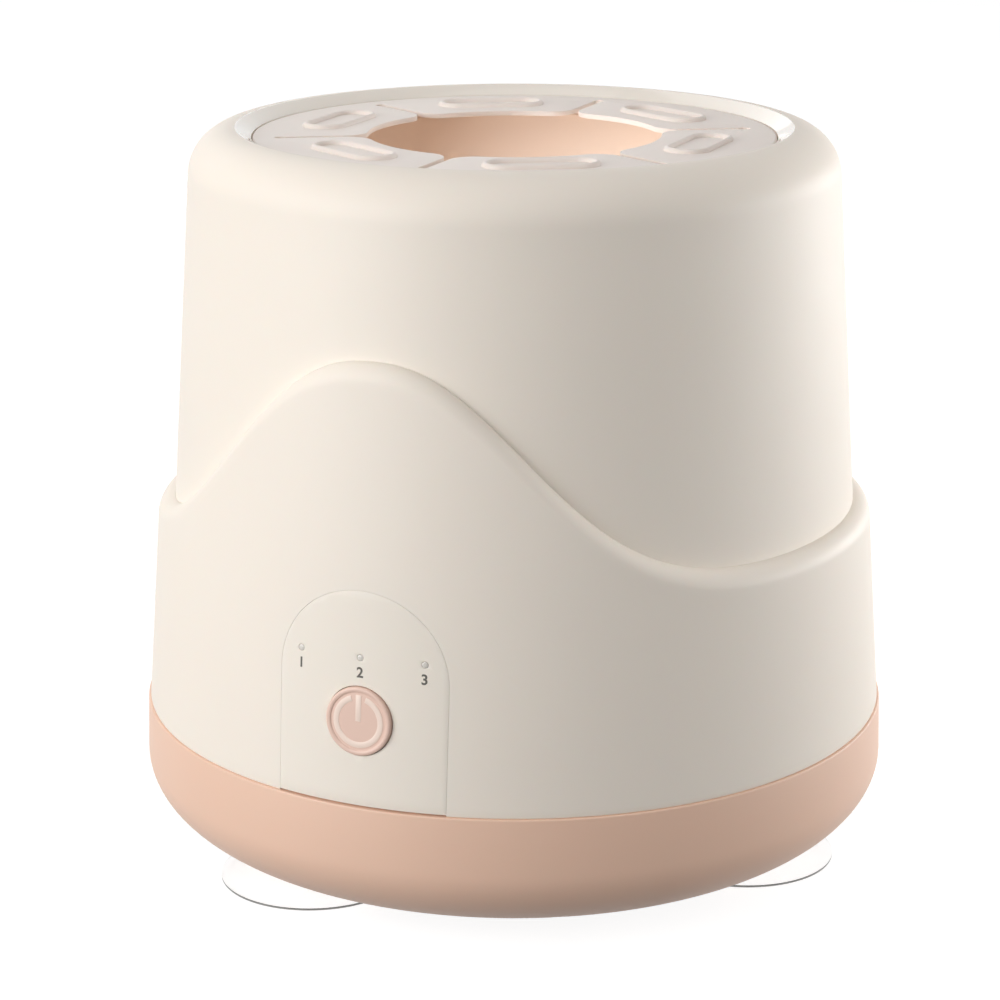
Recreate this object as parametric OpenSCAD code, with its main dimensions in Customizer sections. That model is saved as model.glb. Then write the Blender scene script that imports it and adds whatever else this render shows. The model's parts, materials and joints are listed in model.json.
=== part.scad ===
// Electric formula mixer: a bottle stands in a well on a seat that a small motor swings in a circle.
// Millimetres, +Z up, origin on the table under the centre, control panel towards -Y.

/* [Base] */
// Outer radius of the base at the seam with the lower housing
seam_r = 75; // [72:0.5:80]
// Height of the seam above the table
seam_z = 30; // [27:0.5:36]
// Height of the base's underside above the table
foot_h = 3.2; // [2.6:0.1:4.5]
// Swell of the base past its radius at the seam
base_bulge = 0.35; // [0:0.05:1]
// Drop from the seam to the widest level of the base
widest_drop = 11.3; // [9:0.1:13]
// Radial width of the rounded bottom edge
corner_w = 24.35; // [20:0.05:27]
// Wall and floor thickness of the base
base_wall = 2.6; // [2:0.1:3.2]
// Height of the tongue that locates the lower housing
tongue_h = 3; // [2:0.1:4]
// Thickness of that tongue
tongue_t = 1.6; // [1.2:0.1:2.2]

/* [Suction feet] */
// Radius of the circle that the feet stand on
foot_circle_r = 50; // [46:0.5:52]
// Diameter of a foot's rim
foot_d = 37; // [30:0.5:40]
// Thickness of the cup
foot_t = 1.6; // [1.2:0.1:2]
// Diameter of the stem through the base
foot_stem_d = 6; // [5:0.1:7]
// Diameter of the knob that holds the stem
foot_knob_d = 10; // [9:0.1:11]

/* [Lower housing] */
// Step in from the base to the lower housing at the seam
seam_step = 0.45; // [0.2:0.05:0.8]
// Step in from the lower housing to the drum
sleeve_step = 3.47; // [3.2:0.01:4.2]
// Lean of the lower housing's side, in degrees
sleeve_draft = 4.26; // [3.6:0.01:4.6]
// Height of the level rim above the seam
rim_low = 41.5; // [39:0.1:46]
// Rise of the wave at the front above the level rim
rim_rise = 40.5; // [25:0.1:46]
// Spread of the wave, in degrees round the body
wave_spread = 31.8; // [26:0.1:36]
// Fullness of the wave's crown
wave_power = 2.34; // [2:0.01:3]
// Height over which the rim rounds onto the drum
lip_h = 3.8; // [3:0.1:6]
// Width of the inner ledge that carries the upper housing
ledge_w = 9; // [8:0.1:10]
// Thickness of that ledge
ledge_t = 3; // [2.4:0.1:4]

/* [Upper housing] */
// Overall height, to the crest of the top edge
crest_z = 145.2; // [138:0.2:165]
// Lean of the drum's side, in degrees
drum_draft = 3.93; // [3.5:0.01:4.2]
// Wall thickness of the drum
drum_wall = 2.4; // [2:0.1:2.8]
// Radial width of the rounded shoulder
shoulder_w = 9.3; // [8.5:0.1:10.5]
// Height of the rounded shoulder
shoulder_h = 9.2; // [8.5:0.1:10]
// Width of the bevel from the crest in to the collar
bevel_w = 3.2; // [2.6:0.1:3.8]
// Drop of that bevel
bevel_drop = 1.9; // [1.4:0.1:2.2]
// Reach of the drum below the level rim
skirt_overlap = 7.5; // [6:0.1:9]

/* [Control panel] */
// Width of the panel
panel_w = 33.8; // [32:0.1:38]
// Height of the arch's top above the seam
panel_h = 40.8; // [36:0.1:41]
// Thickness of the panel
panel_t = 1.3; // [1:0.1:1.5]
// Height of the button above the seam
button_h = 16.45; // [14:0.05:18]
// Diameter of the button
button_d = 13; // [11:0.1:14]
// Height of the button's face above the panel
button_proud = 0.6; // [0.3:0.1:1]
// Travel of the button
button_travel = 1; // [0.6:0.1:1.2]
// Height of the row of indicators above the button
led_rise = 11.95; // [10.5:0.05:12.5]
// Distance between neighbouring indicators
led_pitch = 12.55; // [11:0.05:13]
// Diameter of an indicator lens
led_d = 1.4; // [1:0.1:1.8]

/* [Grip collar] */
// Diameter of the round mouth between the petals
mouth_d = 57.5; // [54:0.5:64]
// Distance from the collar's edge in to the petals' fold lines
fold_inset = 7.8; // [7:0.1:9]
// Distance from the collar's edge in to the ends of the slits
slit_inset = 6.1; // [5.5:0.1:7]
// Width of the slits between the petals
slit_w = 1.6; // [1.2:0.1:2.4]
// Thickness of a petal
petal_t = 1.6; // [1.4:0.1:1.9]
// Corner radius of a petal's free edge
petal_corner = 5; // [3:0.1:6]
// Length of the oval bead on a petal
bead_l = 22; // [18:0.1:24]
// Width of the oval bead
bead_w = 9; // [7:0.1:9.5]
// Width of the bead's line
bead_line = 1.2; // [0.8:0.1:1.6]
// Height of the bead
bead_h = 0.8; // [0.4:0.1:1]

/* [Well and seat] */
// Wall and floor thickness of the well liner
liner_wall = 2.2; // [1.8:0.1:2.6]
// Lean of the liner's side, in degrees
liner_draft = 2.7; // [2:0.1:3]
// Thickness of the liner's top flange
liner_flange_t = 3; // [2.4:0.1:3.6]
// Radius of the round corner at the liner's floor
liner_corner = 2.5; // [1:0.1:3]
// Swing of the seat off the centre
swing = 2.5; // [1.5:0.1:3]
// Gap that stays between the seat and the liner
seat_gap = 3; // [2.5:0.1:4]
// Height of the seat's rim above its floor
seat_rim_h = 7; // [5:0.1:9]
// Thickness of the seat's floor and rim
seat_wall = 2.6; // [2.2:0.1:3]
// Thickness of the seat's rubber pad
pad_t = 2; // [1.5:0.1:3]
// Radius of the circle that the guide pins stand on
guide_circle_r = 30; // [28:0.5:31]
// Diameter of a guide pin
guide_pin_d = 6; // [5:0.1:7]

/* [Drive] */
// Module of the gears
gear_module = 1; // [0.9:0.05:1.05]
// Teeth on the drive gear
gear_teeth = 48; // [44:1:50]
// Teeth on the motor pinion
pinion_teeth = 16; // [16:1:18]
// Face width of the drive gear
gear_h = 7; // [6:0.5:9]
// Diameter of the spindle and of the crank pin
spindle_d = 6; // [5:0.1:6]
// Outer diameter of the ball bearings
bearing_d = 13; // [12:0.1:14]
// Width of the ball bearings
bearing_h = 5; // [4:0.1:6]
// Thickness of the drive plate
plate_t = 3; // [2.5:0.1:4]
// Diameter of the motor can
motor_d = 24.4; // [23:0.1:26]
// Length of the motor with its end cap
motor_len = 31; // [28:0.1:34]
// Diameter of the motor shaft
motor_shaft_d = 2; // [1.5:0.1:2.3]

/* [Power] */
// Diameter of the battery cell
cell_d = 18.4; // [17:0.1:20]
// Length of the battery cell
cell_len = 65; // [60:0.5:68]
// Width of the main board
board_w = 28; // [26:0.5:30]
// Depth of the main board
board_d = 32; // [30:0.5:34]
// Thickness of both boards
board_t = 1.6; // [1:0.1:2]
// Width of the charge socket
socket_w = 9; // [8.5:0.1:10]
// Height of the charge socket
socket_h = 3.2; // [2.8:0.1:4]

/* [Clearances] */
// Gap between pieces that sit in or against each other
fit = 0.15; // [0.1:0.01:0.2]
// Radial clearance of shafts in bearings
running = 0.04; // [0.02:0.01:0.08]
// Gap between a petal and the collar, and round the button
moving_gap = 0.3; // [0.25:0.05:0.4]
// Backlash between the gears
backlash = 0.2; // [0.15:0.05:0.3]

/* [Hidden] */
$fn = 96;
wave_steps = 96;
arc_steps = 12;
lip_steps = 6;
flank_steps = 4;
pressure_angle = 20;
root_depth = 1.25;
flank_ease = 0.05;
proud = 1;

cream = [0.95, 0.91, 0.86];
pink = [0.91, 0.75, 0.65];
blush = [0.86, 0.64, 0.55];
silicone = [0.85, 0.82, 0.79];
clear = [0.9, 0.92, 0.92, 0.5];
steel = [0.72, 0.72, 0.74];
brass = [0.8, 0.66, 0.35];
white = [0.93, 0.92, 0.9];
black = [0.15, 0.15, 0.16];
green = [0.14, 0.4, 0.24];

// Radii and levels of the shells
base_r = seam_r + base_bulge;
widest_z = seam_z - widest_drop;
base_flat_r = base_r - corner_w;
floor_z = foot_h + base_wall;
sleeve_r = seam_r - seam_step;
drum_r = sleeve_r - sleeve_step;
tongue_z = seam_z + tongue_h;
skirt_z = seam_z + rim_low - skirt_overlap;
shoulder_z = crest_z - shoulder_h;
crest_r = drum_radius(shoulder_z) - shoulder_w;
collar_r = crest_r - bevel_w;
collar_z = crest_z - bevel_drop;
lip_z = collar_z - petal_t;

// Grip collar and petals
petal_angles = [30, 90, 150, 210, 270, 330];
fold_r = collar_r - fold_inset;
petal_half_w = (collar_r - slit_inset) / 2;
collar_ease = 0.05;
collar_bore = norm([fold_r + moving_gap, petal_half_w + moving_gap]) + collar_ease;
collar_flange_w = 3;
collar_flange_t = 1.65;
collar_flange_r = collar_r + collar_flange_w;
bead_inset = 1;
flange_z = lip_z - fit - collar_flange_t;

// Screws, as thread radius, head radius and head height
screw_r = 1.5;
screw_head_r = 2.8;
screw_head_h = 2;
small_screw_r = 1.1;
small_head_r = 2;
small_head_h = 1.5;
drive_share = 0.6;
boss_wall = 2.5;
small_boss_wall = 1.6;
boss_cap = 4;
thread_gap = 0.05;
thread_end = 2;
base_boss_r = screw_r + boss_wall;
base_screw_inset = 7.6;
base_screw_circle_r = drum_r - base_screw_inset;
base_screw_angles = [30, 150, 270];
base_screw_seat = 8;
base_thread = 10;
housing_boss_inset = 0.3;
housing_screw_circle_r = drum_radius(skirt_z) - drum_wall - boss_wall - housing_boss_inset;
housing_screw_angles = [45, 135, 225, 315];
housing_thread = 8;
liner_screw_angles = [0, 60, 120, 180, 240, 300];
liner_screw_gap = 1.6;
liner_screw_circle_r = collar_flange_r + small_screw_r + liner_screw_gap;
liner_flange_r = shoulder_inside(flange_z) - moving_gap;
liner_thread = 2.6;
liner_boss_wall = 1.4;
liner_boss_sink = 0.3;
liner_screw_end = 0.4;
rib_w = 3;
rib_gap = 0.5;

// Suction feet
foot_angles = [-30, 90, 210];
foot_seat_w = 3.5;
foot_seat_r = foot_stem_d / 2 + foot_seat_w;
foot_rim_t = 0.5;
knob_gap = 0.5;
knob_z = floor_z + knob_gap;
knob_h = 4;

// Control panel, seen from the front along its own inward normal
panel_gap = 0.1;
panel_pocket = panel_t + panel_gap;
button_z = seam_z + button_h;
button_edge = 0.5;
button_flange_t = 1;
button_flange_w = 1.3;
button_flange_r = button_d / 2 + button_flange_w;
button_flange_sag = pow(button_flange_r, 2) / (2 * sleeve_radius(button_z));
button_flange_z = panel_t + button_flange_sag + moving_gap;
button_hole_r = button_d / 2 + moving_gap;
flange_hole_gap = 0.4;
flange_hole_r = button_flange_r + flange_hole_gap;
plunger_r = 1.7;
plunger_len = 3;
stem_wall = 1;
stem_len = 0.6;
plunger_z = button_flange_z + button_flange_t + stem_len;
switch_w = 6;
switch_floor = 0.4;
switch_spare = 0.5;
switch_h = plunger_len / 2 + button_travel + switch_spare + switch_floor;
light = [2, 1.2, 1];
button_board_z = plunger_z + plunger_len / 2 + switch_h;
button_board_edge = 3.5;
button_board_w = 2 * (led_pitch + button_board_edge);
button_board_top = led_rise + light[1] + button_board_edge / 4;
button_board_low = 8;
board_post_x = led_pitch;
board_post_y = 2;
board_post_z = sleeve_radius(button_z) - drum_radius(button_z) - fit;
post_thread = 2.5;
symbol_inset = 1.5;
symbol_r = button_d / 2 - symbol_inset;
symbol_line = 1.1;
symbol_gap_w = 2.2;
symbol_t = 0.35;

// Drive train, stacked up from the base floor
gear_pitch_r = gear_module * gear_teeth / 2;
pinion_pitch_r = gear_module * pinion_teeth / 2;
motor_offset = gear_pitch_r + pinion_pitch_r;
motor_angle = 30;
motor_r = motor_d / 2;
motor_clear = 7.2;
motor_boss_r = 3;
motor_boss_h = 1.5;
motor_screw_offset = 8;
motor_thread = 4;
motor_head_r = 2.6;
cap_h = 5;
cap_inset = 0.4;
cap_step = 1;
cap_boss_r = motor_boss_r + cap_inset;
terminal = [2, 0.6, 4];
terminal_x = 7.3;
shaft_depth = 10;
plate_z = floor_z + motor_clear + motor_len;
plate_top = plate_z + plate_t;
plate_edge = 1.8;
plate_r = motor_offset + motor_r + plate_edge;
post_inset = 6;
post_circle_r = plate_r - post_inset;
post_r = 4;
post_angles = [0, 90, 180, 270];
hub_spacer = 4;
hub_len = 2 * bearing_h + hub_spacer;
hub_wall = 3.5;
hub_r = bearing_d / 2 + hub_wall;
bearing_lip = 1.5;
spindle_r = spindle_d / 2;
spindle_tail = 2;
clip_t = 1;
clip_w = 2;
clip_gap = 0.3;
head_gap = 1;
gear_collar_w = 1.5;
gear_z = plate_top + small_head_h + head_gap;
gear_top = gear_z + gear_h;
disc_t = 4;
disc_r = 9;
disc_socket = 2.4;
weight_gap = 2;
weight_r = [disc_r + weight_gap, gear_pitch_r - weight_gap];
weight_t = 3.6;
disc_gap = 1.4;
liner_z = gear_top + disc_t + disc_gap;
liner_floor_z = liner_z + liner_wall;

// Well liner and bottle seat
liner_step = 0.2;
liner_top_r = collar_bore + liner_step;
liner_low_r = liner_top_r - (flange_z - liner_floor_z) * tan(liner_draft);
drip_gap = 3.5;
drip_hole_r = spindle_r + swing + drip_gap;
drip_lip_t = 2;
drip_lip_h = 2;
drip_lip_z = liner_floor_z + drip_lip_h;
seat_lift = 0.6;
seat_hub_z = drip_lip_z + seat_lift;
seat_hub_wall = 3;
seat_hub_r = bearing_d / 2 + seat_hub_wall;
bearing_recess = 0.2;
seat_bearing_z = seat_hub_z + bearing_recess;
seat_skin = 1.6;
seat_floor_z = seat_bearing_z + bearing_h + seat_skin;
seat_under_z = seat_floor_z - seat_wall;
seat_r = liner_low_r - swing - seat_gap;
pad_inset = 1.5;
pad_r = seat_r - seat_wall - pad_inset;
pad_ribs = [0.35, 0.6, 0.85];
pad_rib_w = 1.4;
pad_rib_h = 0.6;
guide_angles = [45, 165, 285];
guide_pin_r = guide_pin_d / 2;
guide_play = 0.4;
guide_bore_r = guide_pin_r + swing + guide_play;
bush_t = 2;
bush_flange_w = 1.5;
bush_flange_t = 1;
guide_boss_h = 2.5;
guide_boss_wall = 2.2;
guide_socket = 1.4;
guide_tip_gap = 0.6;

// Battery and main board on the base floor
rail_h = 2.2;
holder_wall = 1.6;
contact_t = 0.8;
cell_r = cell_d / 2;
cell_x = -(foot_circle_r - cell_r);
holder_z = floor_z + rail_h;
cell_z = holder_z + holder_wall + cell_r;
holder_rise = 0.9;
holder_h = holder_wall + cell_r + holder_rise;
holder_w = cell_d + 2 * holder_wall;
holder_len = cell_len + 2 * (contact_t + holder_wall) + 4 * fit;
socket_len = 8.5;
socket_overhang = 2;
socket_skin = 0.35;
socket_back = 2;
socket_tongue = [6, 6.5, 0.7];
socket_drop = 2;
board_z = widest_z - board_t - socket_h / 2 - socket_drop;
board_back_gap = 5;
board_back_y = base_r - base_wall - board_back_gap;
board_front_y = board_back_y - board_d;
board_top_z = board_z + board_t;
board_screw_inset = 3;
board_thread = 4;
inductor = [6, 6, 3];
chip = [5, 5, 1];
capacitor_d = 4;
capacitor_h = 5;
parts_pitch = 5;
socket_z = board_top_z + socket_h / 2;
socket_mouth_y = board_back_y + socket_overhang;
port_gap = 2;
port_w = socket_w + 2 * port_gap;
port_h = socket_h + 2 * port_gap;

function drum_radius(z) = drum_r - (z - seam_z) * tan(drum_draft);
function sleeve_radius(z) = sleeve_r - (z - seam_z) * tan(sleeve_draft);

// Radius of the shoulder's inside at a height
function shoulder_inside(z) =
  crest_r + (shoulder_w - drum_wall) * sqrt(1 - pow((z - shoulder_z) / (lip_z - shoulder_z), 2));

// Height of the lower housing's rim, at an angle round from the front
function rim_height(angle) =
  let (turn = abs(angle > 180 ? angle - 360 : angle))
  seam_z + rim_low + rim_rise * exp(-pow(turn / wave_spread, wave_power));

// Points along part of an ellipse
function ellipse_arc(x, z, a, b, from, to, steps = arc_steps) =
  [for (i = [0:steps]) let (t = from + (to - from) * i / steps) [x + a * cos(t), z + b * sin(t)]];

// Half the angle of a gear tooth at a radius, for an involute flank
function involute(angle) = tan(angle) * 180 / PI - angle;
function tooth_half_angle(teeth, r) =
  let (pitch_r = gear_module * teeth / 2)
  let (base_circle = pitch_r * cos(pressure_angle))
  let (pitch_half = (PI * gear_module - 2 * backlash) / (4 * pitch_r) * 180 / PI)
  pitch_half + involute(pressure_angle) - involute(acos(min(1, base_circle / r)));

function gear_points(teeth) =
  let (pitch_r = gear_module * teeth / 2)
  let (tip = pitch_r + gear_module)
  let (root = pitch_r - root_depth * gear_module)
  let (start = max(root + flank_ease, pitch_r * cos(pressure_angle)))
  let (flank = [root, for (i = [0:flank_steps]) start + (tip - start) * i / flank_steps])
  let (last = len(flank) - 1)
  [for (k = [0:teeth - 1], side = [-1, 1], i = [0:last])
    let (r = flank[side < 0 ? i : last - i])
    let (a = 360 * k / teeth + side * tooth_half_angle(teeth, r))
    [r * cos(a), r * sin(a)]];

// Places children on a circle, at an angle round from the front
module around(angle, r = 0) {
  rotate([0, 0, angle]) translate([0, -r, 0]) children();
}

// Places children at the button, with +Z going in through the panel and +Y down
module at_button() {
  translate([0, -sleeve_radius(button_z), button_z]) rotate([-90 - sleeve_draft, 0, 0]) children();
}

module at_motor() {
  around(motor_angle, motor_offset) children();
}

module at_seat() {
  translate([swing, 0, 0]) children();
}

module ring(outer, inner, h) {
  difference() {
    cylinder(r = outer, h = h);
    translate([0, 0, -proud]) cylinder(r = inner, h = h + 2 * proud);
  }
}

// A screw that points up, with its head below zero
module screw(r, length, head_r, head_h) {
  difference() {
    union() {
      cylinder(r = r, h = length);
      translate([0, 0, -head_h]) cylinder(r = head_r, h = head_h);
    }
    translate([0, 0, -head_h - proud])
      cylinder(r = drive_share * r, h = proud + drive_share * head_h, $fn = 6);
  }
}

module base_envelope() {
  rotate_extrude() polygon(concat(
    [[0, foot_h]],
    ellipse_arc(base_flat_r, widest_z, corner_w, widest_z - foot_h, -90, 0),
    [[seam_r, seam_z], [0, seam_z]]
  ));
}

module base_shell() {
  inner_h = widest_z - floor_z;
  rotate_extrude() polygon(concat(
    [[0, foot_h]],
    ellipse_arc(base_flat_r, widest_z, corner_w, widest_z - foot_h, -90, 0),
    [[seam_r, seam_z], [drum_r, seam_z], [drum_radius(tongue_z), tongue_z]],
    [[drum_radius(tongue_z) - tongue_t, tongue_z], [drum_r - tongue_t, seam_z - tongue_h]],
    ellipse_arc(base_flat_r, widest_z, corner_w - base_wall, inner_h, 0, -90),
    [[0, floor_z]]
  ));
}

module board_screw_spots() {
  for (x = [-1, 1], y = [board_front_y + board_screw_inset, board_back_y - 3 * board_screw_inset])
    translate([x * (board_w / 2 - board_screw_inset), y, 0]) children();
}

// A slot with round ends, lying along X and going back along Y
module port_slot(w, h, depth) {
  rotate([-90, 0, 0]) linear_extrude(depth) {
    square([w - h, h], center = true);
    for (x = [-1, 1]) translate([x * (w - h) / 2, 0]) circle(d = h);
  }
}

module base_tray() {
  color(pink) difference() {
    union() {
      base_shell();
      intersection() {
        base_envelope();
        union() {
          for (a = base_screw_angles) around(a, base_screw_circle_r) cylinder(r = base_boss_r, h = seam_z);
          board_screw_spots() cylinder(r = small_screw_r + small_boss_wall, h = board_z);
          for (y = [-1, 1]) translate([cell_x - holder_w / 4, y * cell_len / 4 - rib_w / 2, 0])
            cube([holder_w / 2, rib_w, holder_z]);
        }
      }
    }
    for (a = base_screw_angles) around(a, base_screw_circle_r) {
      translate([0, 0, -proud]) cylinder(r = screw_r + fit, h = seam_z + 2 * proud);
      translate([0, 0, -proud]) cylinder(r = screw_head_r + 2 * fit, h = seam_z - base_screw_seat + proud);
    }
    board_screw_spots() translate([0, 0, floor_z]) cylinder(r = small_screw_r + thread_gap, h = board_z);
    for (a = foot_angles) around(a, foot_circle_r) cylinder(r = foot_stem_d / 2 + fit, h = floor_z + proud);
    translate([0, socket_mouth_y, socket_z]) port_slot(port_w, port_h, base_r);
  }
}

// Cup, stem and knob in one clear moulding
module suction_foot(k) {
  rim_r = foot_d / 2;
  stem_r = foot_stem_d / 2;
  color(clear) around(foot_angles[k - 1], foot_circle_r) rotate_extrude() polygon([
    [0, foot_h - foot_t], [foot_seat_r, foot_h - foot_t],
    [rim_r - foot_rim_t, 0], [rim_r, 0], [rim_r, foot_rim_t],
    [(rim_r + foot_seat_r) / 2, (foot_h + foot_t) / 2], [foot_seat_r, foot_h],
    [stem_r, foot_h], [stem_r, knob_z], [foot_knob_d / 2, knob_z],
    [foot_knob_d / 2, knob_z + knob_h / 2], [stem_r, knob_z + knob_h], [0, knob_z + knob_h]
  ]);
}

module base_screws() {
  color(steel) for (a = base_screw_angles) around(a, base_screw_circle_r)
    translate([0, 0, seam_z - base_screw_seat])
      screw(screw_r, base_screw_seat + base_thread - proud, screw_head_r, screw_head_h);
}

// Cross-section of the lower housing at an angle, from its inner bottom edge round to the ledge
function sleeve_section(angle) =
  let (rim_z = rim_height(angle))
  let (rim_r = drum_radius(rim_z) + fit)
  let (lip_z = rim_z - lip_h)
  concat(
    [[drum_radius(seam_z) + fit, seam_z], [sleeve_radius(seam_z), seam_z]],
    ellipse_arc(rim_r, lip_z, sleeve_radius(lip_z) - rim_r, lip_h, 0, 90, lip_steps),
    [[drum_radius(skirt_z) + fit, skirt_z], [drum_radius(skirt_z) - ledge_w, skirt_z]],
    [[drum_radius(skirt_z) - ledge_w, skirt_z - ledge_t]],
    [[drum_radius(skirt_z - ledge_t) + fit, skirt_z - ledge_t]]
  );

module sleeve_shell() {
  sections = [for (i = [0:wave_steps - 1]) sleeve_section(360 * i / wave_steps)];
  n = len(sections[0]);
  points = [for (i = [0:wave_steps - 1], p = sections[i])
    let (a = 360 * i / wave_steps)
    [p[0] * sin(a), -p[0] * cos(a), p[1]]];
  faces = [for (i = [0:wave_steps - 1], j = [0:n - 1], half = [0, 1])
    let (next = (i + 1) % wave_steps, up = (j + 1) % n)
    half == 0 ? [i * n + j, i * n + up, next * n + up] : [i * n + j, next * n + up, next * n + j]];
  polyhedron(points, faces);
}

// The panel's arched outline, standing in XZ and reaching forward from the centre
module panel_arch(gap) {
  arch_r = panel_w / 2 + gap;
  arch_z = seam_z + panel_h - panel_w / 2;
  rotate([90, 0, 0]) linear_extrude(seam_r + proud) {
    translate([0, arch_z]) circle(r = arch_r);
    translate([-arch_r, seam_z - gap]) square([2 * arch_r, arch_z - seam_z + gap]);
  }
}

// A skin that follows the lower housing's side, between two depths below its surface
module sleeve_skin(depth, above) {
  top_z = seam_z + panel_h + 2 * proud;
  low_z = seam_z - proud;
  rotate_extrude() polygon([
    [sleeve_radius(low_z) - depth, low_z], [sleeve_radius(low_z) + above, low_z],
    [sleeve_radius(top_z) + above, top_z], [sleeve_radius(top_z) - depth, top_z]
  ]);
}

module led_spots() {
  for (x = [-1, 0, 1]) translate([x * led_pitch, -led_rise, 0]) children();
}

module board_post_spots() {
  for (x = [-1, 1]) translate([x * board_post_x, board_post_y, 0]) children();
}

module lower_housing() {
  boss_h = base_thread + boss_cap;
  rib_low = tongue_h + rib_gap;
  color(cream) difference() {
    union() {
      sleeve_shell();
      for (a = base_screw_angles) around(a, base_screw_circle_r) {
        translate([0, 0, seam_z]) cylinder(r = base_boss_r, h = boss_h);
        translate([-rib_w / 2, -base_screw_inset, seam_z + rib_low])
          cube([rib_w, base_screw_inset, boss_h - rib_low]);
      }
      at_button() board_post_spots() translate([0, 0, board_post_z])
        cylinder(r = small_screw_r + small_boss_wall, h = button_board_z - board_post_z);
    }
    intersection() {
      sleeve_skin(panel_pocket, proud);
      panel_arch(fit);
    }
    at_button() {
      cylinder(r = flange_hole_r, h = button_board_z - light[2]);
      led_spots() cylinder(d = led_d + 4 * fit, h = button_board_z - light[2]);
      board_post_spots() translate([0, 0, button_board_z - post_thread - proud])
        cylinder(r = small_screw_r + thread_gap, h = button_board_z);
    }
    for (a = base_screw_angles) around(a, base_screw_circle_r)
      translate([0, 0, seam_z - proud]) cylinder(r = screw_r + thread_gap, h = base_thread + proud);
    for (a = housing_screw_angles) around(a, housing_screw_circle_r)
      translate([0, 0, skirt_z - ledge_t - proud]) cylinder(r = screw_r + fit, h = ledge_t + 2 * proud);
  }
}

module control_panel() {
  color(cream) difference() {
    intersection() {
      sleeve_skin(panel_t, 0);
      panel_arch(0);
      translate([-panel_w, -2 * seam_r, seam_z + fit]) cube([2 * panel_w, 2 * seam_r, panel_h]);
    }
    at_button() {
      translate([0, 0, -proud]) cylinder(r = button_hole_r, h = 3 * proud + panel_t);
      led_spots() translate([0, 0, -proud]) cylinder(d = led_d + 2 * fit, h = 6 * proud);
    }
  }
}

// Light guides from the mode lights out to the panel's surface
module indicator_lenses() {
  color(white) intersection() {
    sleeve_skin(seam_r / 2, fit);
    at_button() led_spots() translate([0, 0, -proud])
      cylinder(d = led_d, h = button_board_z - light[2] - fit + proud);
  }
}

module upper_housing() {
  inner_h = lip_z - shoulder_z;
  boss_h = housing_thread + thread_end;
  color(cream) difference() {
    union() {
      rotate_extrude() polygon(concat(
        [[drum_radius(skirt_z), skirt_z]],
        ellipse_arc(crest_r, shoulder_z, shoulder_w, shoulder_h, 0, 90),
        [[collar_r, collar_z], [collar_r, lip_z]],
        ellipse_arc(crest_r, shoulder_z, shoulder_w - drum_wall, inner_h, 90, 0),
        [[drum_radius(skirt_z) - drum_wall, skirt_z]]
      ));
      for (a = housing_screw_angles) around(a, housing_screw_circle_r)
        translate([0, 0, skirt_z]) cylinder(r = screw_r + boss_wall, h = boss_h);
      for (a = liner_screw_angles) around(a, liner_screw_circle_r)
        translate([0, 0, flange_z])
          cylinder(r = small_screw_r + liner_boss_wall, h = lip_z - flange_z + liner_boss_sink);
    }
    for (a = housing_screw_angles) around(a, housing_screw_circle_r)
      translate([0, 0, skirt_z - proud]) cylinder(r = screw_r + thread_gap, h = housing_thread + proud);
    for (a = liner_screw_angles) around(a, liner_screw_circle_r)
      translate([0, 0, flange_z - proud]) cylinder(r = small_screw_r + thread_gap, h = liner_thread + proud);
  }
}

module housing_screws() {
  color(steel) for (a = housing_screw_angles) around(a, housing_screw_circle_r)
    translate([0, 0, skirt_z - ledge_t])
      screw(screw_r, ledge_t + housing_thread - proud, screw_head_r, screw_head_h);
}

// The fixed ring of the collar, clamped under the drum's lip
module grip_collar() {
  edge_r = collar_r - fit;
  color(silicone) difference() {
    rotate_extrude() polygon([
      [0, lip_z], [collar_bore, lip_z], [collar_bore, flange_z], [collar_flange_r, flange_z],
      [collar_flange_r, lip_z - fit], [edge_r, lip_z - fit], [edge_r, collar_z], [0, collar_z]
    ]);
    for (a = petal_angles) around(a)
      translate([-petal_half_w - moving_gap, -fold_r - moving_gap, lip_z - proud])
        cube([2 * (petal_half_w + moving_gap), fold_r + moving_gap, petal_t + 2 * proud]);
  }
}

// Half of a petal's outline: the free edge round the mouth, its round corner and the side along the slit
function petal_side() =
  let (free_r = mouth_d / 2)
  let (slit_turn = 180 / len(petal_angles))
  let (corner_turn = slit_turn - asin((slit_w / 2 + petal_corner) / (free_r + petal_corner)))
  let (corner = (free_r + petal_corner) * [sin(corner_turn), cos(corner_turn)])
  let (side_r = (petal_half_w + slit_w / sqrt(3)) * sqrt(3))
  let (steps = arc_steps / 2)
  concat(
    [for (i = [0:steps - 1]) let (t = corner_turn * i / steps) free_r * [sin(t), cos(t)]],
    [for (i = [0:steps]) let (t = 270 - corner_turn + (corner_turn + 2 * slit_turn) * i / steps)
      corner + petal_corner * [cos(t), sin(t)]],
    [[petal_half_w, side_r], [petal_half_w, fold_r]]
  );

module oval(l, w) {
  square([l - w, w], center = true);
  for (x = [-1, 1]) translate([x * (l - w) / 2, 0]) circle(d = w);
}

module petal(k) {
  side = petal_side();
  outline = concat(side, [for (i = [len(side) - 1:-1:1]) [-side[i][0], side[i][1]]]);
  bead_r = fold_r - bead_inset - bead_w / 2;
  color(silicone) around(petal_angles[k - 1]) mirror([0, 1, 0]) {
    translate([0, 0, lip_z]) linear_extrude(petal_t) polygon(outline);
    translate([0, bead_r, collar_z]) linear_extrude(bead_h) difference() {
      oval(bead_l, bead_w);
      oval(bead_l - 2 * bead_line, bead_w - 2 * bead_line);
    }
  }
}

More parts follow.
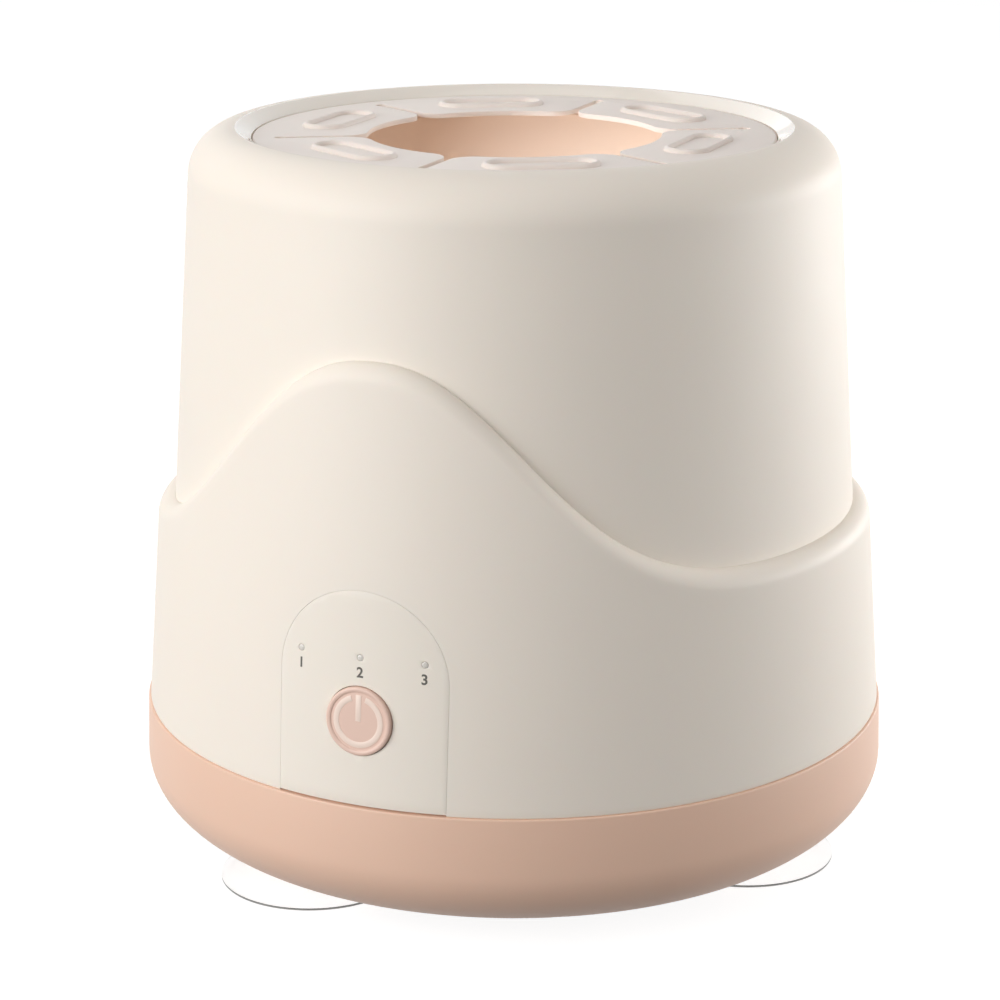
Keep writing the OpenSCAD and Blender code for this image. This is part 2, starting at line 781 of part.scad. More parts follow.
module well_liner() {
  wall_r = liner_low_r + liner_corner * tan(liner_draft);
  flange_low = flange_z - liner_flange_t;
  color(blush) difference() {
    union() {
      rotate_extrude() polygon(concat(
        [[drip_hole_r, liner_z], [liner_low_r + liner_wall, liner_z]],
        [[liner_top_r + liner_wall, flange_low], [liner_flange_r, flange_low]],
        [[liner_flange_r, flange_z], [liner_top_r, flange_z]],
        ellipse_arc(wall_r - liner_corner, liner_floor_z + liner_corner, liner_corner, liner_corner, 0, -90),
        [[drip_hole_r + drip_lip_t, liner_floor_z], [drip_hole_r + drip_lip_t, drip_lip_z]],
        [[drip_hole_r, drip_lip_z]]
      ));
      for (a = post_angles) around(a, post_circle_r)
        translate([0, 0, plate_top]) cylinder(r = post_r, h = liner_z - plate_top + liner_wall / 2);
    }
    for (a = guide_angles) around(a, guide_circle_r)
      translate([0, 0, liner_z - proud])
        cylinder(r = guide_bore_r + bush_t + fit, h = liner_wall + 2 * proud);
    for (a = liner_screw_angles) around(a, liner_screw_circle_r)
      translate([0, 0, flange_low - proud])
        cylinder(r = small_screw_r + fit, h = liner_flange_t + 2 * proud);
    for (a = post_angles) around(a, post_circle_r)
      translate([0, 0, plate_top - proud]) cylinder(r = screw_r + thread_gap, h = housing_thread + proud);
  }
}

module liner_screws() {
  color(steel) for (a = liner_screw_angles) around(a, liner_screw_circle_r)
    translate([0, 0, flange_z - liner_flange_t])
      screw(small_screw_r, liner_flange_t + liner_thread - liner_screw_end, small_head_r, small_head_h);
}

// Flanged bushes that the guide pins roll round in
module guide_bushes() {
  bush_r = guide_bore_r + bush_t;
  color(white) for (a = guide_angles) around(a, guide_circle_r) {
    translate([0, 0, liner_z]) ring(bush_r, guide_bore_r, liner_wall);
    translate([0, 0, liner_floor_z]) ring(bush_r + bush_flange_w, guide_bore_r, bush_flange_t);
  }
}

module motor_screw_spots() {
  for (x = [-1, 1]) translate([x * motor_screw_offset, 0, 0]) children();
}

module drive_plate() {
  hub_z = plate_top - hub_len;
  bearing_r = bearing_d / 2 + running / 2;
  color(white) difference() {
    union() {
      translate([0, 0, plate_z]) cylinder(r = plate_r, h = plate_t);
      translate([0, 0, hub_z]) cylinder(r = hub_r, h = hub_len);
    }
    translate([0, 0, hub_z - proud]) cylinder(r = bearing_r - bearing_lip, h = hub_len + 2 * proud);
    translate([0, 0, hub_z - proud]) cylinder(r = bearing_r, h = bearing_h + proud);
    translate([0, 0, plate_top - bearing_h]) cylinder(r = bearing_r, h = bearing_h + proud);
    at_motor() translate([0, 0, plate_z - proud]) {
      cylinder(r = motor_boss_r + fit, h = plate_t + 2 * proud);
      motor_screw_spots() cylinder(r = screw_r + fit, h = plate_t + 2 * proud);
    }
    for (a = post_angles) around(a, post_circle_r)
      translate([0, 0, plate_z - proud]) cylinder(r = screw_r + fit, h = plate_t + 2 * proud);
  }
}

module plate_screws() {
  color(steel) for (a = post_angles) around(a, post_circle_r)
    translate([0, 0, plate_z]) screw(screw_r, plate_t + housing_thread - proud, screw_head_r, screw_head_h);
}

module ball_bearing() {
  ring(bearing_d / 2, spindle_r + running, bearing_h);
}

module spindle_bearings() {
  color(steel) for (z = [plate_top - hub_len, plate_top - bearing_h]) translate([0, 0, z]) ball_bearing();
}

module motor_can() {
  color(steel) at_motor() difference() {
    union() {
      translate([0, 0, plate_z - motor_len + cap_h]) cylinder(r = motor_r, h = motor_len - cap_h);
      translate([0, 0, plate_z]) cylinder(r = motor_boss_r, h = motor_boss_h);
    }
    translate([0, 0, plate_z - shaft_depth]) cylinder(r = motor_shaft_d / 2 + running, h = 2 * shaft_depth);
    motor_screw_spots() translate([0, 0, plate_z - motor_thread])
      cylinder(r = screw_r + thread_gap, h = motor_thread + proud);
  }
}

module motor_end_cap() {
  low_z = plate_z - motor_len;
  color(black) at_motor() {
    translate([0, 0, low_z + cap_step]) cylinder(r = motor_r - cap_inset, h = cap_h - cap_step);
    translate([0, 0, low_z]) cylinder(r = cap_boss_r, h = 2 * cap_step);
  }
}

module motor_terminals() {
  low_z = plate_z - motor_len + cap_step - terminal[2];
  color(brass) at_motor() for (x = [-1, 1])
    translate([x * terminal_x - terminal[0] / 2, -terminal[1] / 2, low_z]) cube(terminal);
}

module motor_screws() {
  color(steel) at_motor() motor_screw_spots()
    translate([0, 0, plate_top]) mirror([0, 0, 1])
      screw(screw_r, plate_t + motor_thread - proud, motor_head_r, small_head_h);
}

module motor_shaft() {
  color(steel) at_motor() translate([0, 0, plate_z - shaft_depth + running])
    cylinder(r = motor_shaft_d / 2, h = gear_top + 2 * proud - plate_z + shaft_depth - running);
}

module motor_pinion() {
  color(brass) at_motor() translate([0, 0, gear_z]) difference() {
    rotate([0, 0, 90 + 180 / pinion_teeth])
      linear_extrude(gear_h + proud) polygon(gear_points(pinion_teeth));
    translate([0, 0, -proud]) cylinder(r = motor_shaft_d / 2 + running / 2, h = gear_h + 3 * proud);
  }
}

module drive_spindle() {
  low_z = plate_top - hub_len - spindle_tail;
  color(steel) translate([0, 0, low_z]) cylinder(r = spindle_r, h = gear_top + disc_socket - low_z);
}

module spindle_clip() {
  color(steel) translate([0, 0, plate_top - hub_len - clip_gap - clip_t])
    ring(spindle_r + clip_w, spindle_r + running / 2, clip_t);
}

module drive_gear() {
  color(white) difference() {
    union() {
      translate([0, 0, gear_z]) around(motor_angle) rotate([0, 0, -90])
        linear_extrude(gear_h) polygon(gear_points(gear_teeth));
      translate([0, 0, plate_top + moving_gap])
        cylinder(r = spindle_r + gear_collar_w, h = gear_z - plate_top);
    }
    translate([0, 0, plate_top]) cylinder(r = spindle_r + running / 2, h = gear_top);
  }
}

// Disc on the spindle's end, with the crank pin off its centre
module crank_disc() {
  pin_top = seat_bearing_z + bearing_h - moving_gap;
  color(steel) difference() {
    union() {
      translate([0, 0, gear_top]) cylinder(r = disc_r, h = disc_t);
      at_seat() translate([0, 0, gear_top + disc_t / 2])
        cylinder(r = spindle_r, h = pin_top - gear_top - disc_t / 2);
    }
    translate([0, 0, gear_top - proud])
      cylinder(r = spindle_r + running / 2, h = disc_socket + proud + running);
  }
}

// Half ring opposite the crank pin
module counterweight() {
  color(brass) intersection() {
    translate([0, 0, gear_top]) ring(weight_r[1], weight_r[0], weight_t);
    translate([-2 * weight_r[1] - proud, -weight_r[1], gear_top])
      cube([2 * weight_r[1], 2 * weight_r[1], weight_t]);
  }
}

module bottle_seat() {
  color(blush) at_seat() difference() {
    union() {
      rotate_extrude() polygon([
        [0, seat_under_z], [seat_r - seat_wall, seat_under_z], [seat_r, seat_under_z + seat_wall],
        [seat_r, seat_floor_z + seat_rim_h], [seat_r - seat_wall, seat_floor_z + seat_rim_h],
        [seat_r - seat_wall, seat_floor_z], [0, seat_floor_z]
      ]);
      translate([0, 0, seat_hub_z]) cylinder(r = seat_hub_r, h = seat_under_z - seat_hub_z + proud);
      for (a = guide_angles) around(a, guide_circle_r)
        translate([0, 0, seat_under_z - guide_boss_h])
          cylinder(r = guide_pin_r + guide_boss_wall, h = guide_boss_h + proud);
    }
    translate([0, 0, seat_hub_z - proud])
      cylinder(r = bearing_d / 2 + running / 2, h = proud + seat_bearing_z - seat_hub_z + bearing_h);
    for (a = guide_angles) around(a, guide_circle_r) translate([0, 0, seat_under_z - guide_boss_h - proud])
      cylinder(r = guide_pin_r + running / 2, h = guide_boss_h + guide_socket + proud);
  }
}

module seat_pad() {
  color(silicone) at_seat() translate([0, 0, seat_floor_z]) {
    cylinder(r = pad_r, h = pad_t - pad_rib_h);
    for (share = pad_ribs) ring(share * pad_r + pad_rib_w, share * pad_r, pad_t);
  }
}

module seat_bearing() {
  color(steel) at_seat() translate([0, 0, seat_bearing_z]) ball_bearing();
}

module guide_pins() {
  pin_z = liner_z + guide_tip_gap;
  color(steel) at_seat() for (a = guide_angles) around(a, guide_circle_r)
    translate([0, 0, pin_z]) cylinder(r = guide_pin_r, h = seat_under_z + guide_socket - pin_z);
}

module battery_cell() {
  color(green) translate([cell_x, cell_len / 2, cell_z]) rotate([90, 0, 0])
    cylinder(r = cell_r, h = cell_len);
}

// Open cradle with an end wall behind each contact
module battery_holder() {
  inner_len = cell_len + 2 * contact_t + 4 * fit;
  color(black) translate([cell_x, 0, holder_z]) difference() {
    translate([-holder_w / 2, -holder_len / 2, 0]) cube([holder_w, holder_len, holder_h]);
    translate([0, inner_len / 2, cell_z - holder_z]) rotate([90, 0, 0])
      cylinder(r = cell_r + fit, h = inner_len);
    translate([-cell_r - fit, -inner_len / 2, cell_z - holder_z])
      cube([2 * (cell_r + fit), inner_len, holder_h]);
  }
}

module battery_contacts() {
  mid_y = cell_len / 2 + fit + contact_t / 2;
  color(steel) for (y = [-1, 1])
    translate([cell_x, y * mid_y, cell_z]) cube([cell_r, contact_t, cell_r], center = true);
}

module main_board() {
  color(green) difference() {
    translate([-board_w / 2, board_front_y, board_z]) cube([board_w, board_d, board_t]);
    board_screw_spots() translate([0, 0, board_z - proud])
      cylinder(r = small_screw_r + fit, h = board_t + 2 * proud);
  }
}

// Inductor, controller chip and two capacitors
module board_parts() {
  mid_y = (board_front_y + board_back_y - socket_len) / 2;
  color(black) translate([0, mid_y, board_top_z]) {
    translate([-inductor[0], -inductor[1] - capacitor_d / 2, 0]) cube(inductor);
    translate([parts_pitch / 2, -chip[1], 0]) cube(chip);
    for (x = [-1, 1]) translate([x * parts_pitch, capacitor_d, 0])
      cylinder(d = capacitor_d, h = capacitor_h);
  }
}

module board_screws() {
  color(steel) board_screw_spots() translate([0, 0, board_top_z]) mirror([0, 0, 1])
    screw(small_screw_r, board_t + board_thread, small_head_r, small_head_h);
}

module charge_socket() {
  color(steel) translate([0, socket_mouth_y - socket_len, socket_z]) {
    difference() {
      port_slot(socket_w, socket_h, socket_len);
      translate([0, socket_back, 0])
        port_slot(socket_w - 2 * socket_skin, socket_h - 2 * socket_skin, socket_len);
    }
    translate([-socket_tongue[0] / 2, socket_back / 2, -socket_tongue[2] / 2]) cube(socket_tongue);
  }
}

module button_board() {
  color(green) at_button() difference() {
    translate([-button_board_w / 2, -button_board_top, button_board_z])
      cube([button_board_w, button_board_top + button_board_low, board_t]);
    board_post_spots() translate([0, 0, button_board_z - proud])
      cylinder(r = small_screw_r + fit, h = board_t + 2 * proud);
  }
}

module button_board_screws() {
  color(steel) at_button() board_post_spots() translate([0, 0, button_board_z + board_t]) mirror([0, 0, 1])
    screw(small_screw_r, board_t + post_thread, small_head_r, small_head_h);
}

module push_switch() {
  color(black) at_button() translate([0, 0, button_board_z - switch_h]) difference() {
    translate([-switch_w / 2, -switch_w / 2, 0]) cube([switch_w, switch_w, switch_h]);
    translate([0, 0, -proud]) cylinder(r = plunger_r + 2 * running, h = switch_h - switch_floor + proud);
  }
}

module switch_plunger() {
  color(black) at_button() translate([0, 0, plunger_z]) cylinder(r = plunger_r, h = plunger_len);
}

module mode_lights() {
  color(white) at_button() led_spots()
    translate([-light[0] / 2, -light[1] / 2, button_board_z - light[2]]) cube(light);
}

module power_button() {
  cap_r = button_d / 2;
  stem_r = plunger_r + stem_wall;
  back_z = button_flange_z + button_flange_t;
  color(pink) at_button() difference() {
    rotate_extrude() polygon([
      [0, -button_proud], [cap_r - button_edge, -button_proud], [cap_r, button_edge - button_proud],
      [cap_r, button_flange_z], [button_flange_r, button_flange_z], [button_flange_r, back_z],
      [stem_r, back_z], [stem_r, plunger_z], [0, plunger_z]
    ]);
    power_mark(running, proud);
  }
}

// Open ring with a bar at the top
module power_mark(gap, above) {
  inner_r = symbol_r - symbol_line;
  bar_w = symbol_line + 2 * gap;
  translate([0, 0, -button_proud - above]) {
    difference() {
      ring(symbol_r + gap, inner_r - gap, symbol_t + above + gap);
      translate([-symbol_gap_w / 2 + gap, -2 * symbol_r, -proud])
        cube([symbol_gap_w - 2 * gap, 2 * symbol_r, symbol_r]);
    }
    translate([-bar_w / 2, -symbol_r - gap, 0]) cube([bar_w, symbol_r + 2 * gap, symbol_t + above + gap]);
  }
}

module power_symbol() {
  color(white) at_button() power_mark(0, running);
}

base_tray();
suction_foot(1);  // suction_foot_1
suction_foot(2);  // suction_foot_2
suction_foot(3);  // suction_foot_3
base_screws();
lower_housing();
control_panel();
indicator_lenses();
upper_housing();
housing_screws();
grip_collar();
petal(1);  // petal_1
petal(2);  // petal_2
petal(3);  // petal_3
petal(4);  // petal_4
petal(5);  // petal_5
petal(6);  // petal_6
well_liner();
liner_screws();
guide_bushes();
drive_plate();
plate_screws();
spindle_bearings();
motor_can();
motor_end_cap();
motor_terminals();
motor_screws();
motor_shaft();
motor_pinion();
drive_spindle();
spindle_clip();
drive_gear();
crank_disc();
counterweight();
bottle_seat();
seat_pad();
seat_bearing();
guide_pins();
battery_cell();
battery_holder();
battery_contacts();
main_board();
board_parts();
board_screws();
charge_socket();
button_board();
button_board_screws();
push_switch();
switch_plunger();
mode_lights();
power_button();
power_symbol();
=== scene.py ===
# Electric formula mixer: shells, panel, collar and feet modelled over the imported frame, with their finishes.
import bpy
import json
from math import acos, asin, atan2, cos, degrees, exp, hypot, radians, sin, sqrt, tan
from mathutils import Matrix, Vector


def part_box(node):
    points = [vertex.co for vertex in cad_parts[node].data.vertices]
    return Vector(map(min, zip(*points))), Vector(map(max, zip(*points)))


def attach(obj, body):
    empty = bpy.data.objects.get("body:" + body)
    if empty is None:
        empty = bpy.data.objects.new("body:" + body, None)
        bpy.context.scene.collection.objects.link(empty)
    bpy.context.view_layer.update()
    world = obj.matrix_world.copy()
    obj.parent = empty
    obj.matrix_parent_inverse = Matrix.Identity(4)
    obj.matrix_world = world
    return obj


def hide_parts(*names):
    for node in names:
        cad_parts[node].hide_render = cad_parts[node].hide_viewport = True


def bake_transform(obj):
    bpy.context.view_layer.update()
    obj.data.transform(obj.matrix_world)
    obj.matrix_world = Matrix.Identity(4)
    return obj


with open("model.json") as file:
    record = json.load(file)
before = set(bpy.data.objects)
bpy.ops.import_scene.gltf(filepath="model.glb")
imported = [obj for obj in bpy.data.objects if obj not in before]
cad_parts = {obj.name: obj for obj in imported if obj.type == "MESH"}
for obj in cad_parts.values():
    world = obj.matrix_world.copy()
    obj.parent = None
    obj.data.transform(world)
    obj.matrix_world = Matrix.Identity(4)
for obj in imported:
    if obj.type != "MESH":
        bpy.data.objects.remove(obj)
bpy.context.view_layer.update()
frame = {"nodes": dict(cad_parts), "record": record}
mm = 0.001
print("frame loaded:", len(frame["nodes"]), "nodes")


# Camera at the photograph's view
view = {"place": (0.2082, -0.5002, 0.2290), "tilt": 73.49, "pan": 22.9, "lens": 100.12, "sensor": 36}
bpy.ops.object.camera_add(location=view["place"], rotation=(radians(view["tilt"]), 0, radians(view["pan"])))
camera = bpy.context.object
camera.data.lens = view["lens"]
camera.data.sensor_width = view["sensor"]
bpy.context.scene.camera = camera


# Small helpers for working by operator
def freshStart():
    if bpy.context.object and bpy.context.object.mode != "OBJECT":
        bpy.ops.object.mode_set(mode="OBJECT")
    bpy.ops.object.select_all(action="DESELECT")


def makeActive(piece):
    freshStart()
    piece.select_set(True)
    bpy.context.view_layer.objects.active = piece


def editAll(piece):
    makeActive(piece)
    bpy.ops.object.mode_set(mode="EDIT")
    bpy.ops.mesh.select_mode(type="VERT")
    bpy.ops.mesh.select_all(action="SELECT")


def named(name):
    piece = bpy.context.object
    piece.name = name
    piece.data.name = name
    return piece


def settle(piece):
    makeActive(piece)
    bpy.ops.object.transform_apply(location=True, rotation=True, scale=True)
    return piece


# Selects vertices, edges or faces whose corners all pass a test in millimetres, and stays in edit mode
def pick(piece, test, kind="VERT"):
    editAll(piece)
    bpy.ops.mesh.select_all(action="DESELECT")
    bpy.ops.mesh.select_mode(type=kind)
    bpy.ops.object.mode_set(mode="OBJECT")
    corners = [v.co / mm for v in piece.data.vertices]
    if kind == "VERT":
        for v in piece.data.vertices:
            v.select = test(corners[v.index])
    else:
        for part in piece.data.edges if kind == "EDGE" else piece.data.polygons:
            part.select = all(test(corners[i]) for i in part.vertices)
    bpy.ops.object.mode_set(mode="EDIT")


def squareUp(piece):
    editAll(piece)
    bpy.ops.mesh.normals_make_consistent(inside=False)
    bpy.ops.object.mode_set(mode="OBJECT")
    return piece


def copyOf(piece, name):
    makeActive(piece)
    bpy.ops.object.duplicate(linked=False)
    return named(name)


def carve(piece, tool, how="DIFFERENCE"):
    makeActive(piece)
    step = piece.modifiers.new("carve", "BOOLEAN")
    step.object = tool
    step.operation = how
    step.solver = "EXACT"
    bpy.ops.object.modifier_apply(modifier=step.name)
    bpy.data.objects.remove(tool, do_unlink=True)


def roundEdges(piece, width, segments=2, angle=40):
    makeActive(piece)
    step = piece.modifiers.new("round", "BEVEL")
    step.width = width * mm
    step.segments = segments
    step.limit_method = "ANGLE"
    step.angle_limit = radians(angle)
    bpy.ops.object.modifier_apply(modifier=step.name)


# The slivers that a carve leaves are merged before the shading
def smooth(piece, angle=32):
    editAll(piece)
    bpy.ops.mesh.remove_doubles(threshold=sliver * mm)
    bpy.ops.mesh.dissolve_degenerate(threshold=sliver * mm)
    makeActive(piece)
    bpy.ops.object.shade_smooth_by_angle(angle=radians(angle))


# Finish, body and the nodes that a piece stands for
def dress(piece, finish, slot, body, *nodes):
    piece.data.materials.clear()
    piece.data.materials.append(finish)
    if body:
        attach(piece, body)
    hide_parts(*nodes)


def arc(r, z, a, b, start, end, steps):
    turns = [radians(start + (end - start) * i / steps) for i in range(steps + 1)]
    return [(r + a * cos(t), z + b * sin(t)) for t in turns]


def extrudeBy(x, y, z):
    bpy.ops.mesh.extrude_region_move(TRANSFORM_OT_translate={"value": (x * mm, y * mm, z * mm)})


# A circle at the profile's first point, extruded and scaled ring by ring along the rest, in millimetres
def turned(name, profile, sides=192, poles=False):
    freshStart()
    bpy.ops.mesh.primitive_circle_add(vertices=sides, radius=profile[0][0] * mm, location=(0, 0, profile[0][1] * mm))
    piece = settle(named(name))
    editAll(piece)
    for (r0, z0), (r1, z1) in zip(profile, profile[1:]):
        extrudeBy(0, 0, z1 - z0)
        bpy.ops.transform.resize(value=(r1 / r0, r1 / r0, 1), center_override=(0, 0, z1 * mm))
    if poles:
        for r, z in (profile[0], profile[-1]):
            pick(piece, lambda p: hypot(p.x, p.y) < 2 * r and abs(p.z - z) < 1e-3)
            bpy.ops.mesh.merge(type="CENTER")
    else:
        bpy.ops.mesh.select_all(action="DESELECT")
        bpy.ops.mesh.select_non_manifold()
        bpy.ops.mesh.bridge_edge_loops()
    return squareUp(piece)


# A drilled or cut round tool along an axis that is turned about X
def rod(name, r, length, place, tilt=0, sides=96):
    freshStart()
    bpy.ops.mesh.primitive_cylinder_add(vertices=sides, radius=r * mm, depth=length * mm, rotation=(tilt, 0, 0),
                                        location=[c * mm for c in place])
    return settle(named(name))


# Point at an angle from the front and a distance from the axis
def around(angle, r, z=0):
    return Vector((r * sin(radians(angle)), -r * cos(radians(angle)), z))


# Flat slot with round ends that faces along Y, left in edit mode with all of it selected
def slotShape(name, w, h, y, z):
    freshStart()
    bpy.ops.mesh.primitive_circle_add(vertices=64, radius=h / 2 * mm, fill_type="NGON", rotation=(radians(90), 0, 0),
                                      location=(0, y * mm, z * mm))
    flat = settle(named(name))
    for side in (-1, 1):
        pick(flat, lambda p: p.x * side > near)
        bpy.ops.transform.translate(value=(side * (w - h) / 2 * mm, 0, 0))
    editAll(flat)
    return flat


# Sizes that several pieces share, from the frame where it has them
def sizeOf(node):
    low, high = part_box(node)
    return low / mm, high / mm


baseLow, baseHigh = sizeOf("base_tray")
sleeveLow, sleeveHigh = sizeOf("lower_housing")
drumLow, drumHigh = sizeOf("upper_housing")
panelLow, panelHigh = sizeOf("control_panel")
collarLow, collarHigh = sizeOf("grip_collar")
linerLow, linerHigh = sizeOf("well_liner")
seatLow, seatHigh = sizeOf("bottle_seat")
padLow, padHigh = sizeOf("seat_pad")
socketLow, socketHigh = sizeOf("charge_socket")
tiny, near, sliver = 0.05, 0.01, 0.0004  # pole radius, tolerance and merging distance
seamZ = sleeveLow.z
sleeveR = sleeveHigh.x
sleeveTilt, drumTilt = 4.26, 3.93
sleeveLean, drumLean = tan(radians(sleeveTilt)), tan(radians(drumTilt))
drumR = drumHigh.x + (drumLow.z - seamZ) * drumLean


def sleeveRadius(z):
    return sleeveR - (z - seamZ) * sleeveLean


def drumRadius(z):
    return drumR - (z - seamZ) * drumLean


# Point and outward direction on the lower housing's side, at a width and a height
def onSleeve(x, z, lift=0):
    r = sleeveRadius(z)
    out = Vector((x / r, -sqrt(1 - (x / r) ** 2), sleeveLean)).normalized()
    return Vector((x, -sqrt(r * r - x * x), z)) + out * lift, out


# Node groups that several finishes share
def newGroup(name, inputs, outputs):
    group = bpy.data.node_groups.new(name, "ShaderNodeTree")
    for label, kind, value in inputs:
        socket = group.interface.new_socket(label, in_out="INPUT", socket_type=kind)
        socket.default_value = value
    for label, kind in outputs:
        group.interface.new_socket(label, in_out="OUTPUT", socket_type=kind)
    return group, group.nodes.new("NodeGroupInput"), group.nodes.new("NodeGroupOutput")


def addNode(tree, kind, **values):
    node = tree.nodes.new(kind)
    for key, value in values.items():
        if hasattr(node, key):
            setattr(node, key, value)
        else:
            node.inputs[key].default_value = value
    return node


def noise(tree, coords, scale, detail=2.0):
    node = addNode(tree, "ShaderNodeTexNoise", Scale=scale, Detail=detail)
    tree.links.new(coords, node.inputs["Vector"])
    return node.outputs["Fac"]


def remap(tree, value, low, high):
    node = tree.nodes.new("ShaderNodeMapRange")
    tree.links.new(value, node.inputs["Value"])
    for socket, end in (("To Min", low), ("To Max", high)):
        if hasattr(end, "links"):
            tree.links.new(end, node.inputs[socket])
        else:
            node.inputs[socket].default_value = end
    return node.outputs["Result"]


def shade(tree, colour, amount):
    node = tree.nodes.new("ShaderNodeHueSaturation")
    tree.links.new(colour, node.inputs["Color"])
    tree.links.new(amount, node.inputs["Value"])
    return node.outputs["Color"]


def combine(tree, how, a, b):
    node = tree.nodes.new("ShaderNodeMath")
    node.operation = how
    for socket, value in zip(node.inputs, (a, b)):
        if hasattr(value, "links"):
            tree.links.new(value, socket)
        else:
            socket.default_value = value
    return node.outputs[0]


colourSocket, valueSocket = "NodeSocketColor", "NodeSocketFloat"


# Base colour made lighter and darker by a cloudy pattern
def clouded(tree, given, pattern, amount):
    darker = combine(tree, "SUBTRACT", 1, given.outputs[amount])
    lighter = combine(tree, "ADD", 1, given.outputs[amount])
    return shade(tree, given.outputs["Color"], remap(tree, pattern, darker, lighter))


# Moulded surface: soft mottling of the tone, fine spark-eroded grain and a slow drift in gloss
mould = {"cloud": 34, "drift": 90, "driftShare": 0.7, "grainShare": 0.3}


def mouldedGroup():
    group, given, result = newGroup(
        "mouldedGrain",
        [("Color", colourSocket, (0.8, 0.8, 0.8, 1)), ("Mottle", valueSocket, 0.02),
         ("Grain Scale", valueSocket, 2600), ("Smoothest", valueSocket, 0.3), ("Roughest", valueSocket, 0.4)],
        [("Color", colourSocket), ("Roughness", valueSocket), ("Height", valueSocket)])
    coords = addNode(group, "ShaderNodeTexCoord").outputs["Object"]
    cloud = noise(group, coords, mould["cloud"], 3)
    drift = noise(group, coords, mould["drift"], 2)
    grain = addNode(group, "ShaderNodeTexNoise", Detail=1.0)
    group.links.new(coords, grain.inputs["Vector"])
    group.links.new(given.outputs["Grain Scale"], grain.inputs["Scale"])
    group.links.new(clouded(group, given, cloud, "Mottle"), result.inputs["Color"])
    slow = combine(group, "MULTIPLY", drift, mould["driftShare"])
    fine = combine(group, "MULTIPLY", grain.outputs["Fac"], mould["grainShare"])
    gloss = combine(group, "ADD", slow, fine)
    dulled = remap(group, gloss, given.outputs["Smoothest"], given.outputs["Roughest"])
    group.links.new(dulled, result.inputs["Roughness"])
    group.links.new(grain.outputs["Fac"], result.inputs["Height"])
    return group


# Rubbery surface: cloudy tone, dust specks that dull it, and a leathery micro relief
rubber = {"cloud": 60, "dust": 900.0, "speck": 0.13, "relief": 1500, "uneven": 0.18}


def rubberyGroup():
    group, given, result = newGroup(
        "rubberySkin",
        [("Color", colourSocket, (0.8, 0.8, 0.8, 1)), ("Cloud", valueSocket, 0.03), ("Dust", valueSocket, 0.06),
         ("Roughness", valueSocket, 0.5)],
        [("Color", colourSocket), ("Roughness", valueSocket), ("Height", valueSocket)])
    coords = addNode(group, "ShaderNodeTexCoord").outputs["Object"]
    cloud = noise(group, coords, rubber["cloud"], 3)
    dust = addNode(group, "ShaderNodeTexVoronoi", Scale=rubber["dust"])
    group.links.new(coords, dust.inputs["Vector"])
    speck = combine(group, "LESS_THAN", dust.outputs["Distance"], rubber["speck"])
    group.links.new(clouded(group, given, cloud, "Cloud"), result.inputs["Color"])
    dulled = combine(group, "MULTIPLY", speck, given.outputs["Dust"])
    drift = combine(group, "MULTIPLY", combine(group, "SUBTRACT", cloud, 0.5), rubber["uneven"])
    uneven = combine(group, "ADD", given.outputs["Roughness"], drift)
    group.links.new(combine(group, "ADD", uneven, dulled), result.inputs["Roughness"])
    group.links.new(noise(group, coords, rubber["relief"], 2), result.inputs["Height"])
    return group


# Drawn or turned metal: fine lines along one axis, smudges and small tarnish
drawn = {"stretch": (60, 60, 4200), "smudge": 160, "brightest": 1.02, "lineShare": 0.12, "smudgeShare": 0.1}


def metalGroup():
    group, given, result = newGroup(
        "workedMetal",
        [("Color", colourSocket, (0.7, 0.7, 0.7, 1)), ("Tarnish", valueSocket, 0.08),
         ("Roughness", valueSocket, 0.3)],
        [("Color", colourSocket), ("Roughness", valueSocket), ("Height", valueSocket)])
    coords = addNode(group, "ShaderNodeTexCoord").outputs["Object"]
    stretch = addNode(group, "ShaderNodeMapping", Scale=drawn["stretch"])
    group.links.new(coords, stretch.inputs["Vector"])
    lines = noise(group, stretch.outputs["Vector"], 1, 2)
    smudge = noise(group, coords, drawn["smudge"], 3)
    darkest = combine(group, "SUBTRACT", 1, given.outputs["Tarnish"])
    tone = remap(group, smudge, darkest, drawn["brightest"])
    group.links.new(shade(group, given.outputs["Color"], tone), result.inputs["Color"])
    scored = combine(group, "MULTIPLY", lines, drawn["lineShare"])
    smeared = combine(group, "MULTIPLY", smudge, drawn["smudgeShare"])
    uneven = combine(group, "ADD", scored, smeared)
    group.links.new(combine(group, "ADD", given.outputs["Roughness"], uneven), result.inputs["Roughness"])
    group.links.new(lines, result.inputs["Height"])
    return group


moulded, rubbery, metal = mouldedGroup(), rubberyGroup(), metalGroup()


# A finish is one group with its own values, wired to the shader's colour, roughness and bump
def newFinish(name, group, values, bump, bumpDepth, **shader):
    finish = bpy.data.materials.new(name)
    finish.use_nodes = True
    tree = finish.node_tree
    surface = tree.nodes["Principled BSDF"]
    skin = tree.nodes.new("ShaderNodeGroup")
    skin.node_tree = group
    for key, value in values.items():
        skin.inputs[key].default_value = value
    tree.links.new(skin.outputs["Color"], surface.inputs["Base Color"])
    tree.links.new(skin.outputs["Roughness"], surface.inputs["Roughness"])
    relief = addNode(tree, "ShaderNodeBump", Strength=bump, Distance=bumpDepth * mm)
    tree.links.new(skin.outputs["Height"], relief.inputs["Height"])
    tree.links.new(relief.outputs["Normal"], surface.inputs["Normal"])
    for key, value in shader.items():
        surface.inputs[key.replace("_", " ")].default_value = value
    finish.diffuse_color = values["Color"]
    return finish


# sRGB to the linear values that the shader takes
def tint(*levels):
    shares = [level / 255 for level in levels]
    return tuple(c / 12.92 if c < 0.04 else ((c + 0.055) / 1.055) ** 2.4 for c in shares) + (1,)


